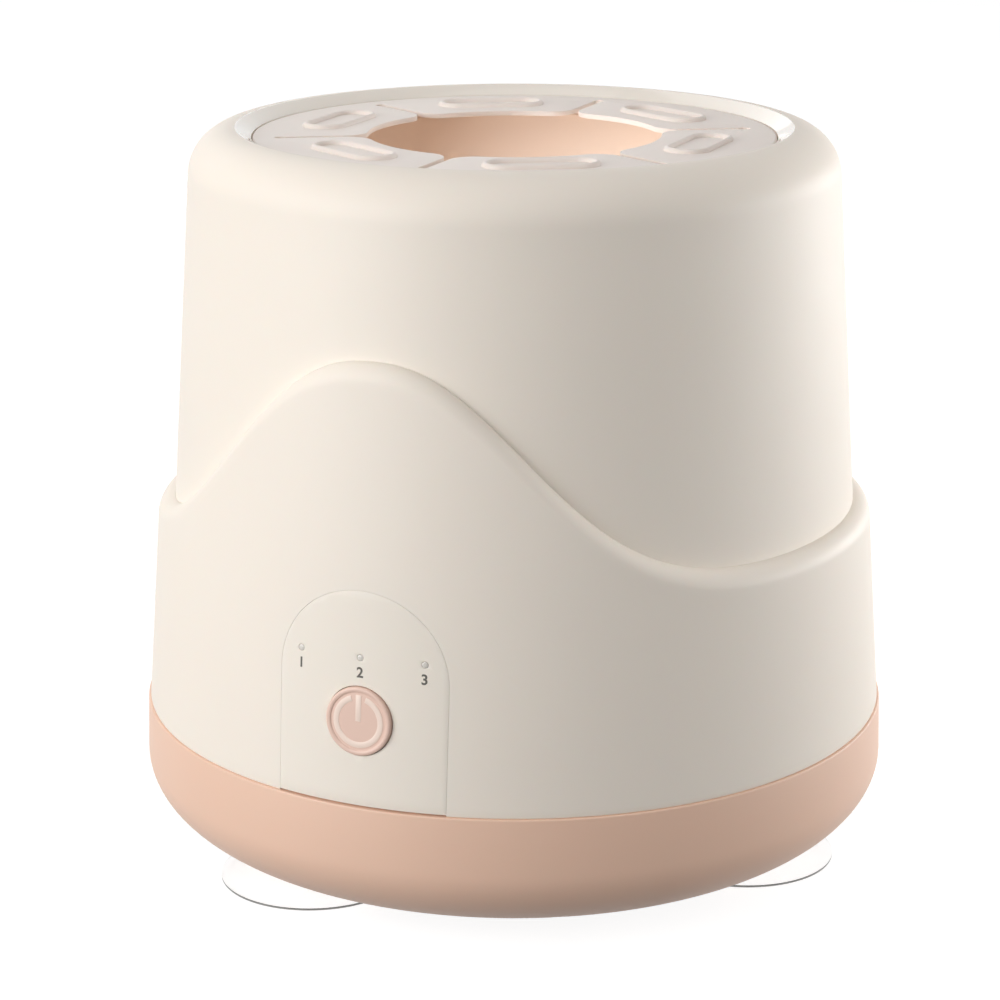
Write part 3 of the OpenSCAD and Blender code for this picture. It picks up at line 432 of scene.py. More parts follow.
creamPlastic = newFinish(
    "creamPlastic", moulded,
    {"Color": tint(243, 233, 221), "Mottle": 0.012, "Grain Scale": 2400, "Smoothest": 0.46, "Roughest": 0.56},
    0.05, 0.04, Specular_IOR_Level=0.42, Subsurface_Weight=0.06, Subsurface_Scale=0.004)
creamPolish = newFinish(
    "creamPolish", moulded,
    {"Color": tint(243, 233, 221), "Mottle": 0.012, "Grain Scale": 2400, "Smoothest": 0.1, "Roughest": 0.16},
    0.02, 0.02, Coat_Weight=0.7, Coat_Roughness=0.08, Subsurface_Weight=0.06, Subsurface_Scale=0.004)
pinkPlastic = newFinish(
    "pinkPlastic", moulded,
    {"Color": tint(234, 196, 173), "Mottle": 0.014, "Grain Scale": 2400, "Smoothest": 0.42, "Roughest": 0.52},
    0.05, 0.04, Subsurface_Weight=0.05, Subsurface_Scale=0.003)
rosePlastic = newFinish(
    "rosePlastic", moulded,
    {"Color": tint(231, 198, 182), "Mottle": 0.014, "Grain Scale": 2400, "Smoothest": 0.34, "Roughest": 0.44},
    0.05, 0.04, Coat_Weight=0.1, Coat_Roughness=0.25)
blushPlastic = newFinish(
    "blushPlastic", moulded,
    {"Color": tint(242, 222, 205), "Mottle": 0.014, "Grain Scale": 2000, "Smoothest": 0.36, "Roughest": 0.48},
    0.05, 0.04, Coat_Weight=0.08, Coat_Roughness=0.3)
greySilicone = newFinish(
    "greySilicone", rubbery,
    {"Color": tint(246, 235, 227), "Cloud": 0.018, "Dust": 0.05, "Roughness": 0.5},
    0.06, 0.05, Specular_IOR_Level=0.32, Sheen_Weight=0.08, Sheen_Roughness=0.5, Subsurface_Weight=0.05,
    Subsurface_Scale=0.002)
clearSilicone = newFinish(
    "clearSilicone", rubbery,
    {"Color": (0.99, 0.99, 0.99, 1), "Cloud": 0.01, "Dust": 0.1, "Roughness": 0.06},
    0.04, 0.04, Transmission_Weight=1.0, IOR=1.15)
# Painted shade: a dark grey, half clear finish for the cups' outer rim, in place of the dark outline that the clear rim
# shows by refraction
paintedRimShade = newFinish(
    "paintedRimShade", rubbery,
    {"Color": (0.3, 0.3, 0.29, 1), "Cloud": 0.05, "Dust": 0.1, "Roughness": 0.3},
    0.04, 0.04, Transmission_Weight=0.5, IOR=1.41)
steelFinish = newFinish(
    "steelFinish", metal, {"Color": (0.6, 0.6, 0.62, 1), "Tarnish": 0.1, "Roughness": 0.24},
    0.12, 0.02, Metallic=1.0)
brassFinish = newFinish(
    "brassFinish", metal, {"Color": (0.62, 0.44, 0.16, 1), "Tarnish": 0.22, "Roughness": 0.26},
    0.12, 0.02, Metallic=1.0)
whiteNylon = newFinish(
    "whiteNylon", moulded,
    {"Color": tint(238, 236, 230), "Mottle": 0.02, "Grain Scale": 1500, "Smoothest": 0.45, "Roughest": 0.6},
    0.08, 0.05)
milkyLens = newFinish(
    "milkyLens", rubbery,
    {"Color": tint(216, 211, 203), "Cloud": 0.05, "Dust": 0.05, "Roughness": 0.25}, 0.03, 0.03, Coat_Weight=0.3)
blackPlastic = newFinish(
    "blackPlastic", moulded,
    {"Color": tint(34, 34, 36), "Mottle": 0.12, "Grain Scale": 1700, "Smoothest": 0.42, "Roughest": 0.6},
    0.1, 0.05)
boardFinish = newFinish(
    "boardFinish", moulded,
    {"Color": tint(38, 96, 62), "Mottle": 0.2, "Grain Scale": 700, "Smoothest": 0.28, "Roughest": 0.45},
    0.1, 0.06)
cellSleeve = newFinish(
    "cellSleeve", rubbery,
    {"Color": tint(72, 128, 104), "Cloud": 0.06, "Dust": 0.08, "Roughness": 0.3}, 0.05, 0.04, Coat_Weight=0.4)
paleInk = newFinish(
    "paleInk", moulded,
    {"Color": tint(244, 222, 208), "Mottle": 0.02, "Grain Scale": 2600, "Smoothest": 0.32, "Roughest": 0.42},
    0.04, 0.03)
darkInk = newFinish(
    "darkInk", moulded,
    {"Color": tint(92, 88, 82), "Mottle": 0.1, "Grain Scale": 3200, "Smoothest": 0.45, "Roughest": 0.6},
    0.05, 0.02)
bySlot = {
    "cream_plastic": creamPlastic, "pink_plastic": pinkPlastic, "blush_plastic": blushPlastic,
    "grey_silicone": greySilicone, "clear_silicone": clearSilicone, "steel": steelFinish, "brass": brassFinish,
    "white_nylon": whiteNylon, "milky_lens": milkyLens, "black_plastic": blackPlastic,
    "circuit_board": boardFinish, "cell_sleeve": cellSleeve}
for part in frame["record"]["subparts"]:
    for holder in frame["nodes"][part["node"]].material_slots:
        holder.material = bySlot[part["material_slot"]]
print("finishes made for", len(bySlot), "slots")


# Base: a rounded tray with a tongue at the seam, foot and screw holes below and the charge port behind
base = {"wall": 2.6, "corner": 24.35, "widestZ": 18.7, "seamR": 75.0, "edge": 0.35, "tongue": 1.6, "tongueRoot": 3.0,
        "screwR": 63.48, "screwAngles": (30, 150, 270), "boss": 4.0, "bossInset": 0.3, "bossDrop": 0.02, "recess": 3.1,
        "recessTop": 22, "footHole": 3.15, "footR": 50, "footAngles": (-30, 90, 210), "portFlare": 1.4,
        "flareShare": 0.75, "portW": 13.0, "portH": 7.2, "portDepth": 3.0, "portPast": 2.0}


def makeBase():
    wall, corner, widestZ, edge, tongue = (base[key] for key in ("wall", "corner", "widestZ", "edge", "tongue"))
    lowZ, flatR, floorZ = baseLow.z, baseHigh.x - corner, baseLow.z + wall
    tongueZ, tongueR = baseHigh.z, drumRadius(baseHigh.z)
    profile = [(tiny, lowZ), (flatR / 2, lowZ)]
    profile += arc(flatR, widestZ, corner, widestZ - lowZ, -90, 0, 28)
    profile += arc(base["seamR"] - edge, seamZ - edge, edge, edge, 0, 90, 4)
    profile += [(drumR, seamZ), (tongueR, tongueZ), (tongueR - tongue, tongueZ)]
    profile += [(drumR - tongue, seamZ - base["tongueRoot"])]
    profile += arc(flatR, widestZ, corner - wall, widestZ - floorZ, 0, -90, 16)
    profile += [(flatR / 2, floorZ), (tiny, floorZ)]
    tray = turned("base_shell", profile, poles=True)
    inset = base["bossInset"]
    outside = [(tiny, lowZ + inset)] + arc(flatR, widestZ, corner - inset, widestZ - lowZ - inset, -90, 0, 28)
    outside += [(base["seamR"], seamZ), (tiny, seamZ)]
    bossZ, recessTop = (seamZ + lowZ) / 2 - base["bossDrop"], base["recessTop"]
    for angle in base["screwAngles"]:
        boss = rod("boss", base["boss"], seamZ - lowZ, around(angle, base["screwR"], bossZ))
        carve(boss, turned("outside", outside, poles=True), "INTERSECT")
        carve(tray, boss, "UNION")
        carve(tray, rod("recess", base["recess"], recessTop, around(angle, base["screwR"], recessTop / 2)))
    for angle in base["footAngles"]:
        carve(tray, rod("footHole", base["footHole"], 4 * wall, around(angle, base["footR"], floorZ)))
    carve(tray, portTool())
    smooth(tray)
    dress(tray, pinkPlastic, "pink_plastic", "housing", "base_tray")


# Slot that opens out at the wall's outer face
def portTool():
    w, h, flare = base["portW"], base["portH"], base["portFlare"]
    startY, endY = socketHigh.y - base["portDepth"], baseHigh.x + base["portPast"]
    wallY, middle = baseHigh.x - flare * base["flareShare"], (socketLow.z + socketHigh.z) / 2
    tool = slotShape("portTool", w, h, startY, middle)
    extrudeBy(0, wallY - startY, 0)
    extrudeBy(0, endY - wallY, 0)
    bpy.ops.transform.resize(value=(1 + 2 * flare / w, 1, 1 + 2 * flare / h),
                             center_override=(0, endY * mm, middle * mm))
    return squareUp(tool)


makeBase()
print("base made")


# Suction feet: thin clear cups with a stem and a knob that holds them in the base, with painted shade on the outer rim
foot = {"rim": 0.45, "shadeRimW": 0.12, "cup": 1.6, "hollow": 1.8, "dome": 0.9, "seat": 6.5, "stem": 3.0, "knob": 5.0,
        "knobLow": 6.3, "knobTop": 10.3, "knobRound": 1.6, "knobCrown": 2.0, "steps": 8}


def makeFeet():
    low, high = sizeOf("suction_foot_2")
    rimR, centreX, seatZ = (high.y - low.y) / 2, (low.x + high.x) / 2, baseLow.z
    rim, seatR, roofZ = foot["rim"], foot["seat"], seatZ - foot["cup"]
    shares = [i / foot["steps"] for i in range(1, foot["steps"] + 1)]
    profile = [(tiny, roofZ), (seatR, roofZ)]
    profile += [(seatR + (rimR - rim - seatR) * s, roofZ * (1 - s ** foot["hollow"])) for s in shares]
    profile += [(rimR, 0.0), (rimR, rim)]
    profile += [(rimR - (rimR - seatR) * s, rim + (seatZ - rim) * sin(radians(90 * s)) ** foot["dome"]) for s in shares]
    profile += [(foot["stem"], seatZ), (foot["stem"], foot["knobLow"]), (foot["knob"], foot["knobLow"])]
    wide, crown = foot["knobRound"], foot["knobCrown"]
    profile += arc(foot["knob"] - wide, foot["knobTop"] - crown, wide, crown, 0, 90, 6) + [(tiny, foot["knobTop"])]
    model = turned("foot_model", profile, sides=96, poles=True)
    smooth(model, 40)
    for k, angle in enumerate(base["footAngles"], 1):
        cup = copyOf(model, f"suction_cup_{k}")
        cup.location = around(angle, centreX) * mm
        settle(cup)
        dress(cup, clearSilicone, "clear_silicone", "housing", f"suction_foot_{k}")
        # The faces nearest the rim take the painted shade, as a dark outline round each cup
        cup.data.materials.append(paintedRimShade)
        for face in cup.data.polygons:
            middle = face.center / mm - around(angle, centreX)
            face.material_index = int(hypot(middle.x, middle.y) > rimR - foot["shadeRimW"])
    bpy.data.objects.remove(model, do_unlink=True)


makeFeet()
print("feet made")


# Lower housing: rings stacked by extrusion, then moved to the wave at each angle round the body
sleeve = {"sides": 288, "edge": 0.3, "sideRings": 44, "lipRings": 10, "lip": 3.8, "gap": 0.04, "rimLow": 41.5,
          "rise": 40.5, "spread": 31.8, "power": 2.34, "ledge": 9.0, "ledgeT": 3.0, "ledgeRoot": 0.2}
panel = {"gap": 0.05, "pocket": 1.4, "pocketDrop": 2.0, "thick": 1.3, "lift": 0.4, "edge": 0.22, "reach": 2.0,
         "hole": 6.64, "flangeHole": 8.2, "lensGap": 0.06, "skinLow": 2.0, "skinHigh": 4.0, "skinRows": 24,
         "archStart": 40, "archReach": 45, "drill": 30, "lensDrill": 12}
button = {"z": 46.45, "r": 6.5, "proud": 0.6, "edge": 0.5, "sink": 0.24, "dome": 0.06, "depth": 3.6, "ledRise": 11.9,
          "crown": 0.8, "faceInset": 2.4, "ledPitch": 12.4, "ledR": 0.6, "markR": 5.0, "markLine": 1.1, "markGap": 2.2,
          "markT": 0.2, "markRound": 0.06, "markProud": 0.1}
ledSpots = [(side * button["ledPitch"], button["z"] + button["ledRise"]) for side in (-1, 0, 1)]
lean = radians(90 - sleeveTilt)


def rimHeight(angle):
    return seamZ + sleeve["rimLow"] + sleeve["rise"] * exp(-(abs(angle) / sleeve["spread"]) ** sleeve["power"])


def sleeveSection(angle):
    rimZ = rimHeight(angle)
    lipZ = rimZ - sleeve["lip"]
    rimR = drumRadius(rimZ) + sleeve["gap"]
    edge, count = sleeve["edge"], sleeve["sideRings"]
    lowZ = seamZ + edge
    section = [(drumRadius(seamZ) + sleeve["gap"], seamZ)]
    section += arc(sleeveRadius(lowZ) - edge, lowZ, edge, edge, -90, 0, 3)
    section += [(sleeveRadius(z), z) for z in (lowZ + (lipZ - lowZ) * i / count for i in range(1, count))]
    section += arc(rimR, lipZ, sleeveRadius(lipZ) - rimR, sleeve["lip"], 0, 90, sleeve["lipRings"])
    wall, ledgeZ = drumRadius(drumLow.z) + sleeve["gap"], drumLow.z
    inside = drumRadius(ledgeZ) - sleeve["ledge"]
    underZ = ledgeZ - sleeve["ledgeT"]
    return section + [(wall, ledgeZ), (inside, ledgeZ), (inside, underZ), (wall + sleeve["ledgeRoot"], underZ)]


def makeSleeve():
    freshStart()
    bpy.ops.mesh.primitive_circle_add(vertices=sleeve["sides"], radius=sleeveR * mm)
    shell = named("lower_shell")
    editAll(shell)
    for _ in sleeveSection(0)[1:]:
        extrudeBy(0, 0, 1)
    bpy.ops.mesh.select_all(action="DESELECT")
    bpy.ops.mesh.select_non_manifold()
    bpy.ops.mesh.bridge_edge_loops()
    bpy.ops.object.mode_set(mode="OBJECT")
    for v in shell.data.vertices:
        turn = atan2(v.co.x, -v.co.y)
        r, z = sleeveSection(degrees(turn))[round(v.co.z / mm)]
        v.co = Vector((r * sin(turn), -r * cos(turn), z)) * mm
    squareUp(shell)
    carve(shell, skinBlock("pocket", panel["pocket"], panel["reach"], panel["gap"], seamZ - panel["pocketDrop"]))
    carve(shell, rod("flangeHole", panel["flangeHole"], panel["drill"], onSleeve(0, button["z"])[0], lean))
    smooth(shell, 30)
    dress(shell, creamPlastic, "cream_plastic", "housing", "lower_housing")


# Prism with a round top that reaches forward from the centre
def archTool(gap, low):
    freshStart()
    half = (panelHigh.x - panelLow.x) / 2 + gap
    archZ = panelHigh.z + gap - half
    bpy.ops.mesh.primitive_circle_add(vertices=128, radius=half * mm, fill_type="NGON", rotation=(radians(90), 0, 0),
                                      location=(0, -panel["archStart"] * mm, archZ * mm))
    tool = settle(named("archTool"))
    pick(tool, lambda p: p.z < archZ - near)
    bpy.ops.transform.resize(value=(1, 1, 0), center_override=(0, 0, low * mm))
    editAll(tool)
    extrudeBy(0, -panel["archReach"], 0)
    return squareUp(tool)


# Arched piece of a skin that follows the housing's side, from a depth below it to a height above it
def skinBlock(name, depth, above, gap, low):
    lowZ, topZ, rows = low - panel["skinLow"], panelHigh.z + panel["skinHigh"], panel["skinRows"]
    levels = [lowZ + (topZ - lowZ) * i / rows for i in range(rows + 1)]
    profile = [(sleeveRadius(z) + above, z) for z in levels]
    profile += [(sleeveRadius(z) - depth, z) for z in reversed(levels)]
    skin = turned(name, profile, sides=sleeve["sides"])
    carve(skin, archTool(gap, low), "INTERSECT")
    return skin


def makePanel():
    plate = skinBlock("panel_plate", panel["thick"], 0, 0, seamZ + panel["lift"])
    carve(plate, rod("buttonHole", panel["hole"], panel["drill"], onSleeve(0, button["z"])[0], lean))
    lensHole = button["ledR"] + panel["lensGap"]
    for x, z in ledSpots:
        carve(plate, rod("lensHole", lensHole, panel["lensDrill"], onSleeve(x, z)[0], lean, 32))
    roundEdges(plate, panel["edge"], 2, 50)
    smooth(plate, 30)
    dress(plate, creamPlastic, "cream_plastic", "housing", "control_panel")


makeSleeve()
makePanel()
print("lower housing and panel made")


# Stands a piece that was made flat on the housing's side, upright and facing out
def standOnSleeve(piece, x, z, lift=0):
    spot, out = onSleeve(x, z, lift)
    piece.rotation_euler = out.to_track_quat("Z", "Y").to_euler()
    piece.location = spot * mm
    return settle(piece)


def makeButton():
    r, top, edge, depth = button["r"], button["proud"], button["edge"], button["depth"]
    crown, faceZ = edge * button["crown"], top - button["sink"]
    profile = [(tiny, -depth), (r, -depth)] + arc(r - edge, top - crown, edge, crown, 0, 90, 8)
    profile += arc(r - edge, faceZ, edge, button["sink"], 100, 175, 6)
    profile += arc(tiny, faceZ, r - edge * button["faceInset"], button["dome"], 0, 90, 6)
    cap = turned("button_cap", profile, sides=128, poles=True)
    smooth(cap, 40)
    standOnSleeve(cap, 0, button["z"])
    dress(cap, rosePlastic, "pink_plastic", "button", "power_button")


# Open ring and bar, drawn flat, thickened and rounded
def makeMark():
    freshStart()
    r0, r1, t = button["markR"] - button["markLine"], button["markR"], button["markT"]
    bpy.ops.mesh.primitive_circle_add(vertices=180, radius=r0 * mm)
    mark = named("button_mark")
    pick(mark, lambda p: p.y > 0 and abs(p.x) < button["markGap"] / 2)
    bpy.ops.mesh.delete(type="VERT")
    editAll(mark)
    bpy.ops.mesh.extrude_region_move()
    bpy.ops.transform.resize(value=(r1 / r0, r1 / r0, 1), center_override=(0, 0, 0))
    bpy.ops.mesh.primitive_plane_add(size=button["markLine"] * mm, location=(0, r1 / 2 * mm, 0))
    bpy.ops.transform.resize(value=(1, r1 / button["markLine"], 1), center_override=(0, r1 / 2 * mm, 0))
    editAll(mark)
    extrudeBy(0, 0, t)
    squareUp(mark)
    roundEdges(mark, button["markRound"], 2, 40)
    smooth(mark, 40)
    standOnSleeve(mark, 0, button["z"], button["proud"] - button["sink"] + button["markProud"] - t)
    dress(mark, paleInk, "milky_lens", "button", "power_symbol")


# Three lenses with a low dome each, in one piece as on the light guide
lens = {"depth": 3.0, "sink": 0.05, "dome": 0.14}


def makeLenses():
    r, depth, sink, dome = button["ledR"], lens["depth"], lens["sink"], lens["dome"]
    profile = [(tiny, -depth), (r, -depth), (r, -sink)] + arc(0, -sink, r, dome, 15, 85, 5) + [(tiny, dome - sink)]
    parts = []
    for x, z in ledSpots:
        part = turned("lens", profile, sides=40, poles=True)
        smooth(part, 50)
        parts.append(standOnSleeve(part, x, z))
    makeActive(parts[0])
    for part in parts:
        part.select_set(True)
    bpy.ops.object.join()
    guide = named("lens_guide")
    dress(guide, milkyLens, "milky_lens", "housing", "indicator_lenses")


numerals = {"drop": 2.85, "size": 2.7, "ink": 0.03, "weight": 0.06, "curve": 10}


def makeNumerals():
    for (x, z), digit in zip(ledSpots, "123"):
        freshStart()
        bpy.ops.object.text_add()
        words = bpy.context.object
        words.data.body = digit
        words.data.size = numerals["size"] * mm
        words.data.extrude = numerals["ink"] * mm / 2
        words.data.offset = numerals["weight"] * mm
        words.data.align_x, words.data.align_y = "CENTER", "CENTER"
        words.data.resolution_u = numerals["curve"]
        bpy.ops.object.convert(target="MESH")
        mark = named(f"numeral_{digit}")
        editAll(mark)
        bpy.ops.mesh.remove_doubles(threshold=sliver * mm)
        squareUp(mark)
        standOnSleeve(mark, x, z - numerals["drop"], numerals["ink"] / 2)
        dress(mark, darkInk, "black_plastic", "housing")


makeButton()
makeMark()
makeLenses()
makeNumerals()
print("button, mark, lenses and numerals made")


# Upper housing: a leaning drum with a rounded shoulder, a soft crest and a bevel down to the collar
drum = {"wall": 2.4, "shoulderW": 9.3, "shoulderH": 9.2, "bevelW": 3.2, "bevelDrop": 1.9, "soft": 0.35, "lip": 1.6,
        "lipEdge": 0.25, "lipRound": 0.06, "lipDrop": 0.02, "rows": 12}


def makeDrum():
    shoulderZ = drumHigh.z - drum["shoulderH"]
    crestR = drumRadius(shoulderZ) - drum["shoulderW"]
    edgeR, edgeZ = crestR - drum["bevelW"], drumHigh.z - drum["bevelDrop"]
    rows = [drumLow.z + (shoulderZ - drumLow.z) * i / drum["rows"] for i in range(drum["rows"])]
    profile = [(drumRadius(z), z) for z in rows]
    profile += arc(crestR, shoulderZ, drum["shoulderW"], drum["shoulderH"], 0, 90, 26)
    slope, soft, lipEdge = atan2(drum["bevelDrop"], drum["bevelW"]), drum["soft"], drum["lipEdge"]
    turns = [slope * i / 4 for i in range(1, 5)]
    profile += [(crestR - soft * sin(t), drumHigh.z - soft * (1 - cos(t))) for t in turns]
    profile += [(edgeR + lipEdge, edgeZ + lipEdge * tan(slope)), (edgeR + drum["lipRound"], edgeZ - drum["lipDrop"])]
    profile += [(edgeR, edgeZ - lipEdge), (edgeR, edgeZ - drum["lip"])]
    profile += arc(crestR, shoulderZ, drum["shoulderW"] - drum["wall"], edgeZ - drum["lip"] - shoulderZ, 90, 0, 12)
    profile += [(drumRadius(drumLow.z) - drum["wall"], drumLow.z)]
    shell = turned("drum_shell", profile, sides=256)
    smooth(shell, 30)
    dress(shell, creamPlastic, "cream_plastic", "housing", "upper_housing")
    shell.data.materials.append(creamPolish)  # on the bevel only
    for face in shell.data.polygons:
        middle = face.center / mm
        face.material_index = int(edgeR < hypot(middle.x, middle.y) < crestR and middle.z > edgeZ)
    return edgeR, edgeZ


collarR, collarZ = makeDrum()
print("upper housing made")


# Grip collar: a ring clamped under the drum's lip, cut back to the fold lines of the six petals
collar = {"gap": 0.15, "edge": 0.5, "bore": 49.5, "hub": 20, "angles": (30, 90, 150, 210, 270, 330), "slit": 1.6,
          "thick": 1.6, "foldInset": 7.8, "slitInset": 6.1, "slitEnd": 1.12, "slitEndInset": 5.5, "mouthR": 28.75,
          "corner": 5.0, "tipThick": 1.0, "round": 0.32, "beadL": 22.0, "beadW": 9.0, "beadLine": 1.3, "beadH": 0.85,
          "beadInset": 1.0, "bendFrom": 43.4, "bendTo": 39.2, "bendRows": 9, "cut": 12, "drill": 8}
foldR = collarR - collar["foldInset"]
slitEndR = collarR - collar["slitEndInset"]
petalHalf = (collarR - collar["slitInset"]) / 2


def makeCollar():
    r, underZ, edge = collarR - collar["gap"], collarZ - collar["thick"], collar["edge"]
    flangeR, flangeZ, clampZ = collarHigh.x, collarLow.z, underZ - collar["gap"]
    profile = [(collar["hub"], underZ), (collar["bore"], underZ), (collar["bore"], flangeZ)]
    profile += [(flangeR, flangeZ), (flangeR, clampZ), (r, clampZ)]
    profile += arc(r - edge, collarZ - edge, edge, edge, 0, 90, 5) + [(collar["hub"], collarZ)]
    ring = turned("collar_ring", profile, sides=240)
    for angle in collar["angles"]:
        freshStart()
        bpy.ops.mesh.primitive_cube_add(size=1)
        tool = named("petalSpace")
        tool.scale = (2 * petalHalf * mm, foldR * mm, collar["cut"] * mm)
        tool.location = (0, -foldR / 2 * mm, collarZ * mm)
        settle(tool)
        tool.rotation_euler = (0, 0, radians(angle))
        carve(ring, settle(tool))
        carve(ring, rod("slitEnd", collar["slitEnd"], collar["drill"], around(angle + 30, slitEndR, collarZ), 0, 48))
    editAll(ring)
    bpy.ops.mesh.fill_holes(sides=3)  # one sliver that a slit's end leaves open
    squareUp(ring)
    smooth(ring, 35)
    dress(ring, greySilicone, "grey_silicone", "housing", "grip_collar")


# Half of a petal's outline, as width and distance from the axis: the mouth, its corner, the slit and its round end
def petalOutline():
    r, corner, end = collar["mouthR"], collar["corner"], collar["slitEnd"]
    turn = 30 - degrees(asin((collar["slit"] / 2 + corner) / (r + corner)))
    middle = around(turn, r + corner)
    half = arc(0, 0, r, r, 90, 90 - turn, 14)[:-1]
    half += arc(middle.x, -middle.y, corner, corner, 270 - turn, 330, 14)
    hole, swing = around(30, slitEndR), degrees(acos(collar["slit"] / 2 / end))
    half += arc(hole.x, -hole.y, end, end, 150 + swing, 150 - swing, 10)
    return half + [(petalHalf, foldR)]


# One petal, pointing to the front: a plate in its outline, rounded, thinner at the tip, with an oval bead on top
def petalModel():
    freshStart()
    half = petalOutline()
    outline = half + [(-x, u) for x, u in reversed(half[1:])]
    bpy.ops.mesh.primitive_circle_add(vertices=len(outline), radius=foldR * mm, fill_type="NGON")
    plate = named("petal_model")
    for v, (x, u) in zip(plate.data.vertices, outline):
        v.co = Vector((x, -u, collarZ)) * mm
    editAll(plate)
    extrudeBy(0, 0, -collar["thick"])
    squareUp(plate)
    pick(plate, lambda p: -p.y < foldR - 0.05 and abs(p.x) < petalHalf + 0.05, "EDGE")
    bpy.ops.object.mode_set(mode="OBJECT")
    for e in plate.data.edges:
        a, b = (plate.data.vertices[i].co / mm for i in e.vertices)
        level = abs(a.z - b.z) < near
        side = all(abs(abs(p.x) - petalHalf) < near for p in (a, b))
        e.select = e.select and level and not side
    bpy.ops.object.mode_set(mode="EDIT")
    bpy.ops.mesh.bevel(offset=collar["round"] * mm, segments=3, affect="EDGES", clamp_overlap=True)
    for i in range(collar["bendRows"] + 1):
        u = collar["bendFrom"] + (collar["bendTo"] - collar["bendFrom"]) * i / collar["bendRows"]
        bpy.ops.mesh.select_all(action="SELECT")
        bpy.ops.mesh.bisect(plane_co=(0, -u * mm, 0), plane_no=(0, 1, 0))
    squareUp(plate)
    for v in plate.data.vertices:
        reach = (foldR + v.co.y / mm) / (foldR - collar["mouthR"])
        thinner = (1 - collar["tipThick"] / collar["thick"]) * min(max(reach, 0), 1)
        v.co.z += (collarZ * mm - v.co.z) * thinner
    carve(plate, beadTool(), "UNION")
    smooth(plate, 40)
    return plate


def beadTool():
    freshStart()
    line, middle = collar["beadLine"] / 2, foldR - collar["beadInset"] - collar["beadW"] / 2
    bpy.ops.mesh.primitive_torus_add(major_radius=(collar["beadW"] / 2 - line) * mm, minor_radius=line * mm,
                                     major_segments=72, minor_segments=20, location=(0, -middle * mm, collarZ * mm))
    bead = named("beadTool")
    bead.scale = (1, 1, collar["beadH"] / line)
    settle(bead)
    for side in (-1, 1):
        pick(bead, lambda p: p.x * side > near)
        bpy.ops.transform.translate(value=(side * (collar["beadL"] - collar["beadW"]) / 2 * mm, 0, 0))
    return squareUp(bead)


def makePetals():
    model = petalModel()
    for k, angle in enumerate(collar["angles"], 1):
        petal = copyOf(model, f"grip_petal_{k}")
        petal.rotation_euler = (0, 0, radians(angle))
        settle(petal)
        dress(petal, greySilicone, "grey_silicone", None, f"petal_{k}")
        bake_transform(petal)
    bpy.data.objects.remove(model, do_unlink=True)


makeCollar()
makePetals()
print("collar and petals made")


# Well liner: a cup with a round corner at its floor, a drip lip at the centre and holes for the guide bushes
liner = {"wall": 2.2, "topR": 49.7, "lowR": 46.1, "floorZ": 64.1, "corner": 2.5, "flange": 3.0, "edge": 0.4, "rings": 5,
         "ringStep": 12, "dripR": 9.0, "dripLip": 2.0, "dripH": 2.0, "dripFoot": 0.6, "dripRise": 0.5, "bushR": 8.05,
         "bushCircle": 30, "bushAngles": (45, 165, 285), "drill": 8}


def makeLiner():
    topZ, floorZ, wall, corner, edge = linerHigh.z, liner["floorZ"], liner["wall"], liner["corner"], liner["edge"]
    topR, lowR, underZ, flangeZ = liner["topR"], liner["lowR"], floorZ - wall, topZ - liner["flange"]
    slope = (topR - lowR) / (topZ - floorZ)
    profile = [(liner["dripR"], underZ), (lowR + wall, underZ), (topR + wall, flangeZ), (linerHigh.x, flangeZ)]
    profile += [(linerHigh.x, topZ), (topR + edge, topZ), (topR, topZ - edge)]
    levels = [topZ - liner["ringStep"] * i for i in range(1, liner["rings"] + 1)]
    profile += [(lowR + slope * (z - floorZ), z) for z in levels]
    profile += arc(lowR + slope * corner - corner, floorZ + corner, corner, corner, 0, -90, 8)
    hole, lip, lipZ = liner["dripR"], liner["dripR"] + liner["dripLip"], floorZ + liner["dripH"]
    profile += [(lip + liner["dripFoot"], floorZ), (lip, floorZ + liner["dripRise"]), (lip, lipZ - edge)]
    profile += [(lip - edge, lipZ), (hole + edge, lipZ), (hole, lipZ - edge)]
    cup = turned("liner_cup", profile, sides=224)
    for angle in liner["bushAngles"]:
        carve(cup, rod("bushHole", liner["bushR"], liner["drill"], around(angle, liner["bushCircle"], floorZ)))
    smooth(cup, 32)
    dress(cup, blushPlastic, "blush_plastic", "housing", "well_liner")


# Bottle seat and its ribbed pad, off centre by the crank's swing
seat = {"wall": 2.6, "hub": 9.5, "bearing": 6.52, "hubZ": 66.7, "floorZ": 73.5, "roof": 1.6, "soft": 0.9, "inner": 1.2,
        "padEdge": 0.5, "ribs": (0.35, 0.6, 0.85), "ribW": 1.4, "ribH": 0.6}


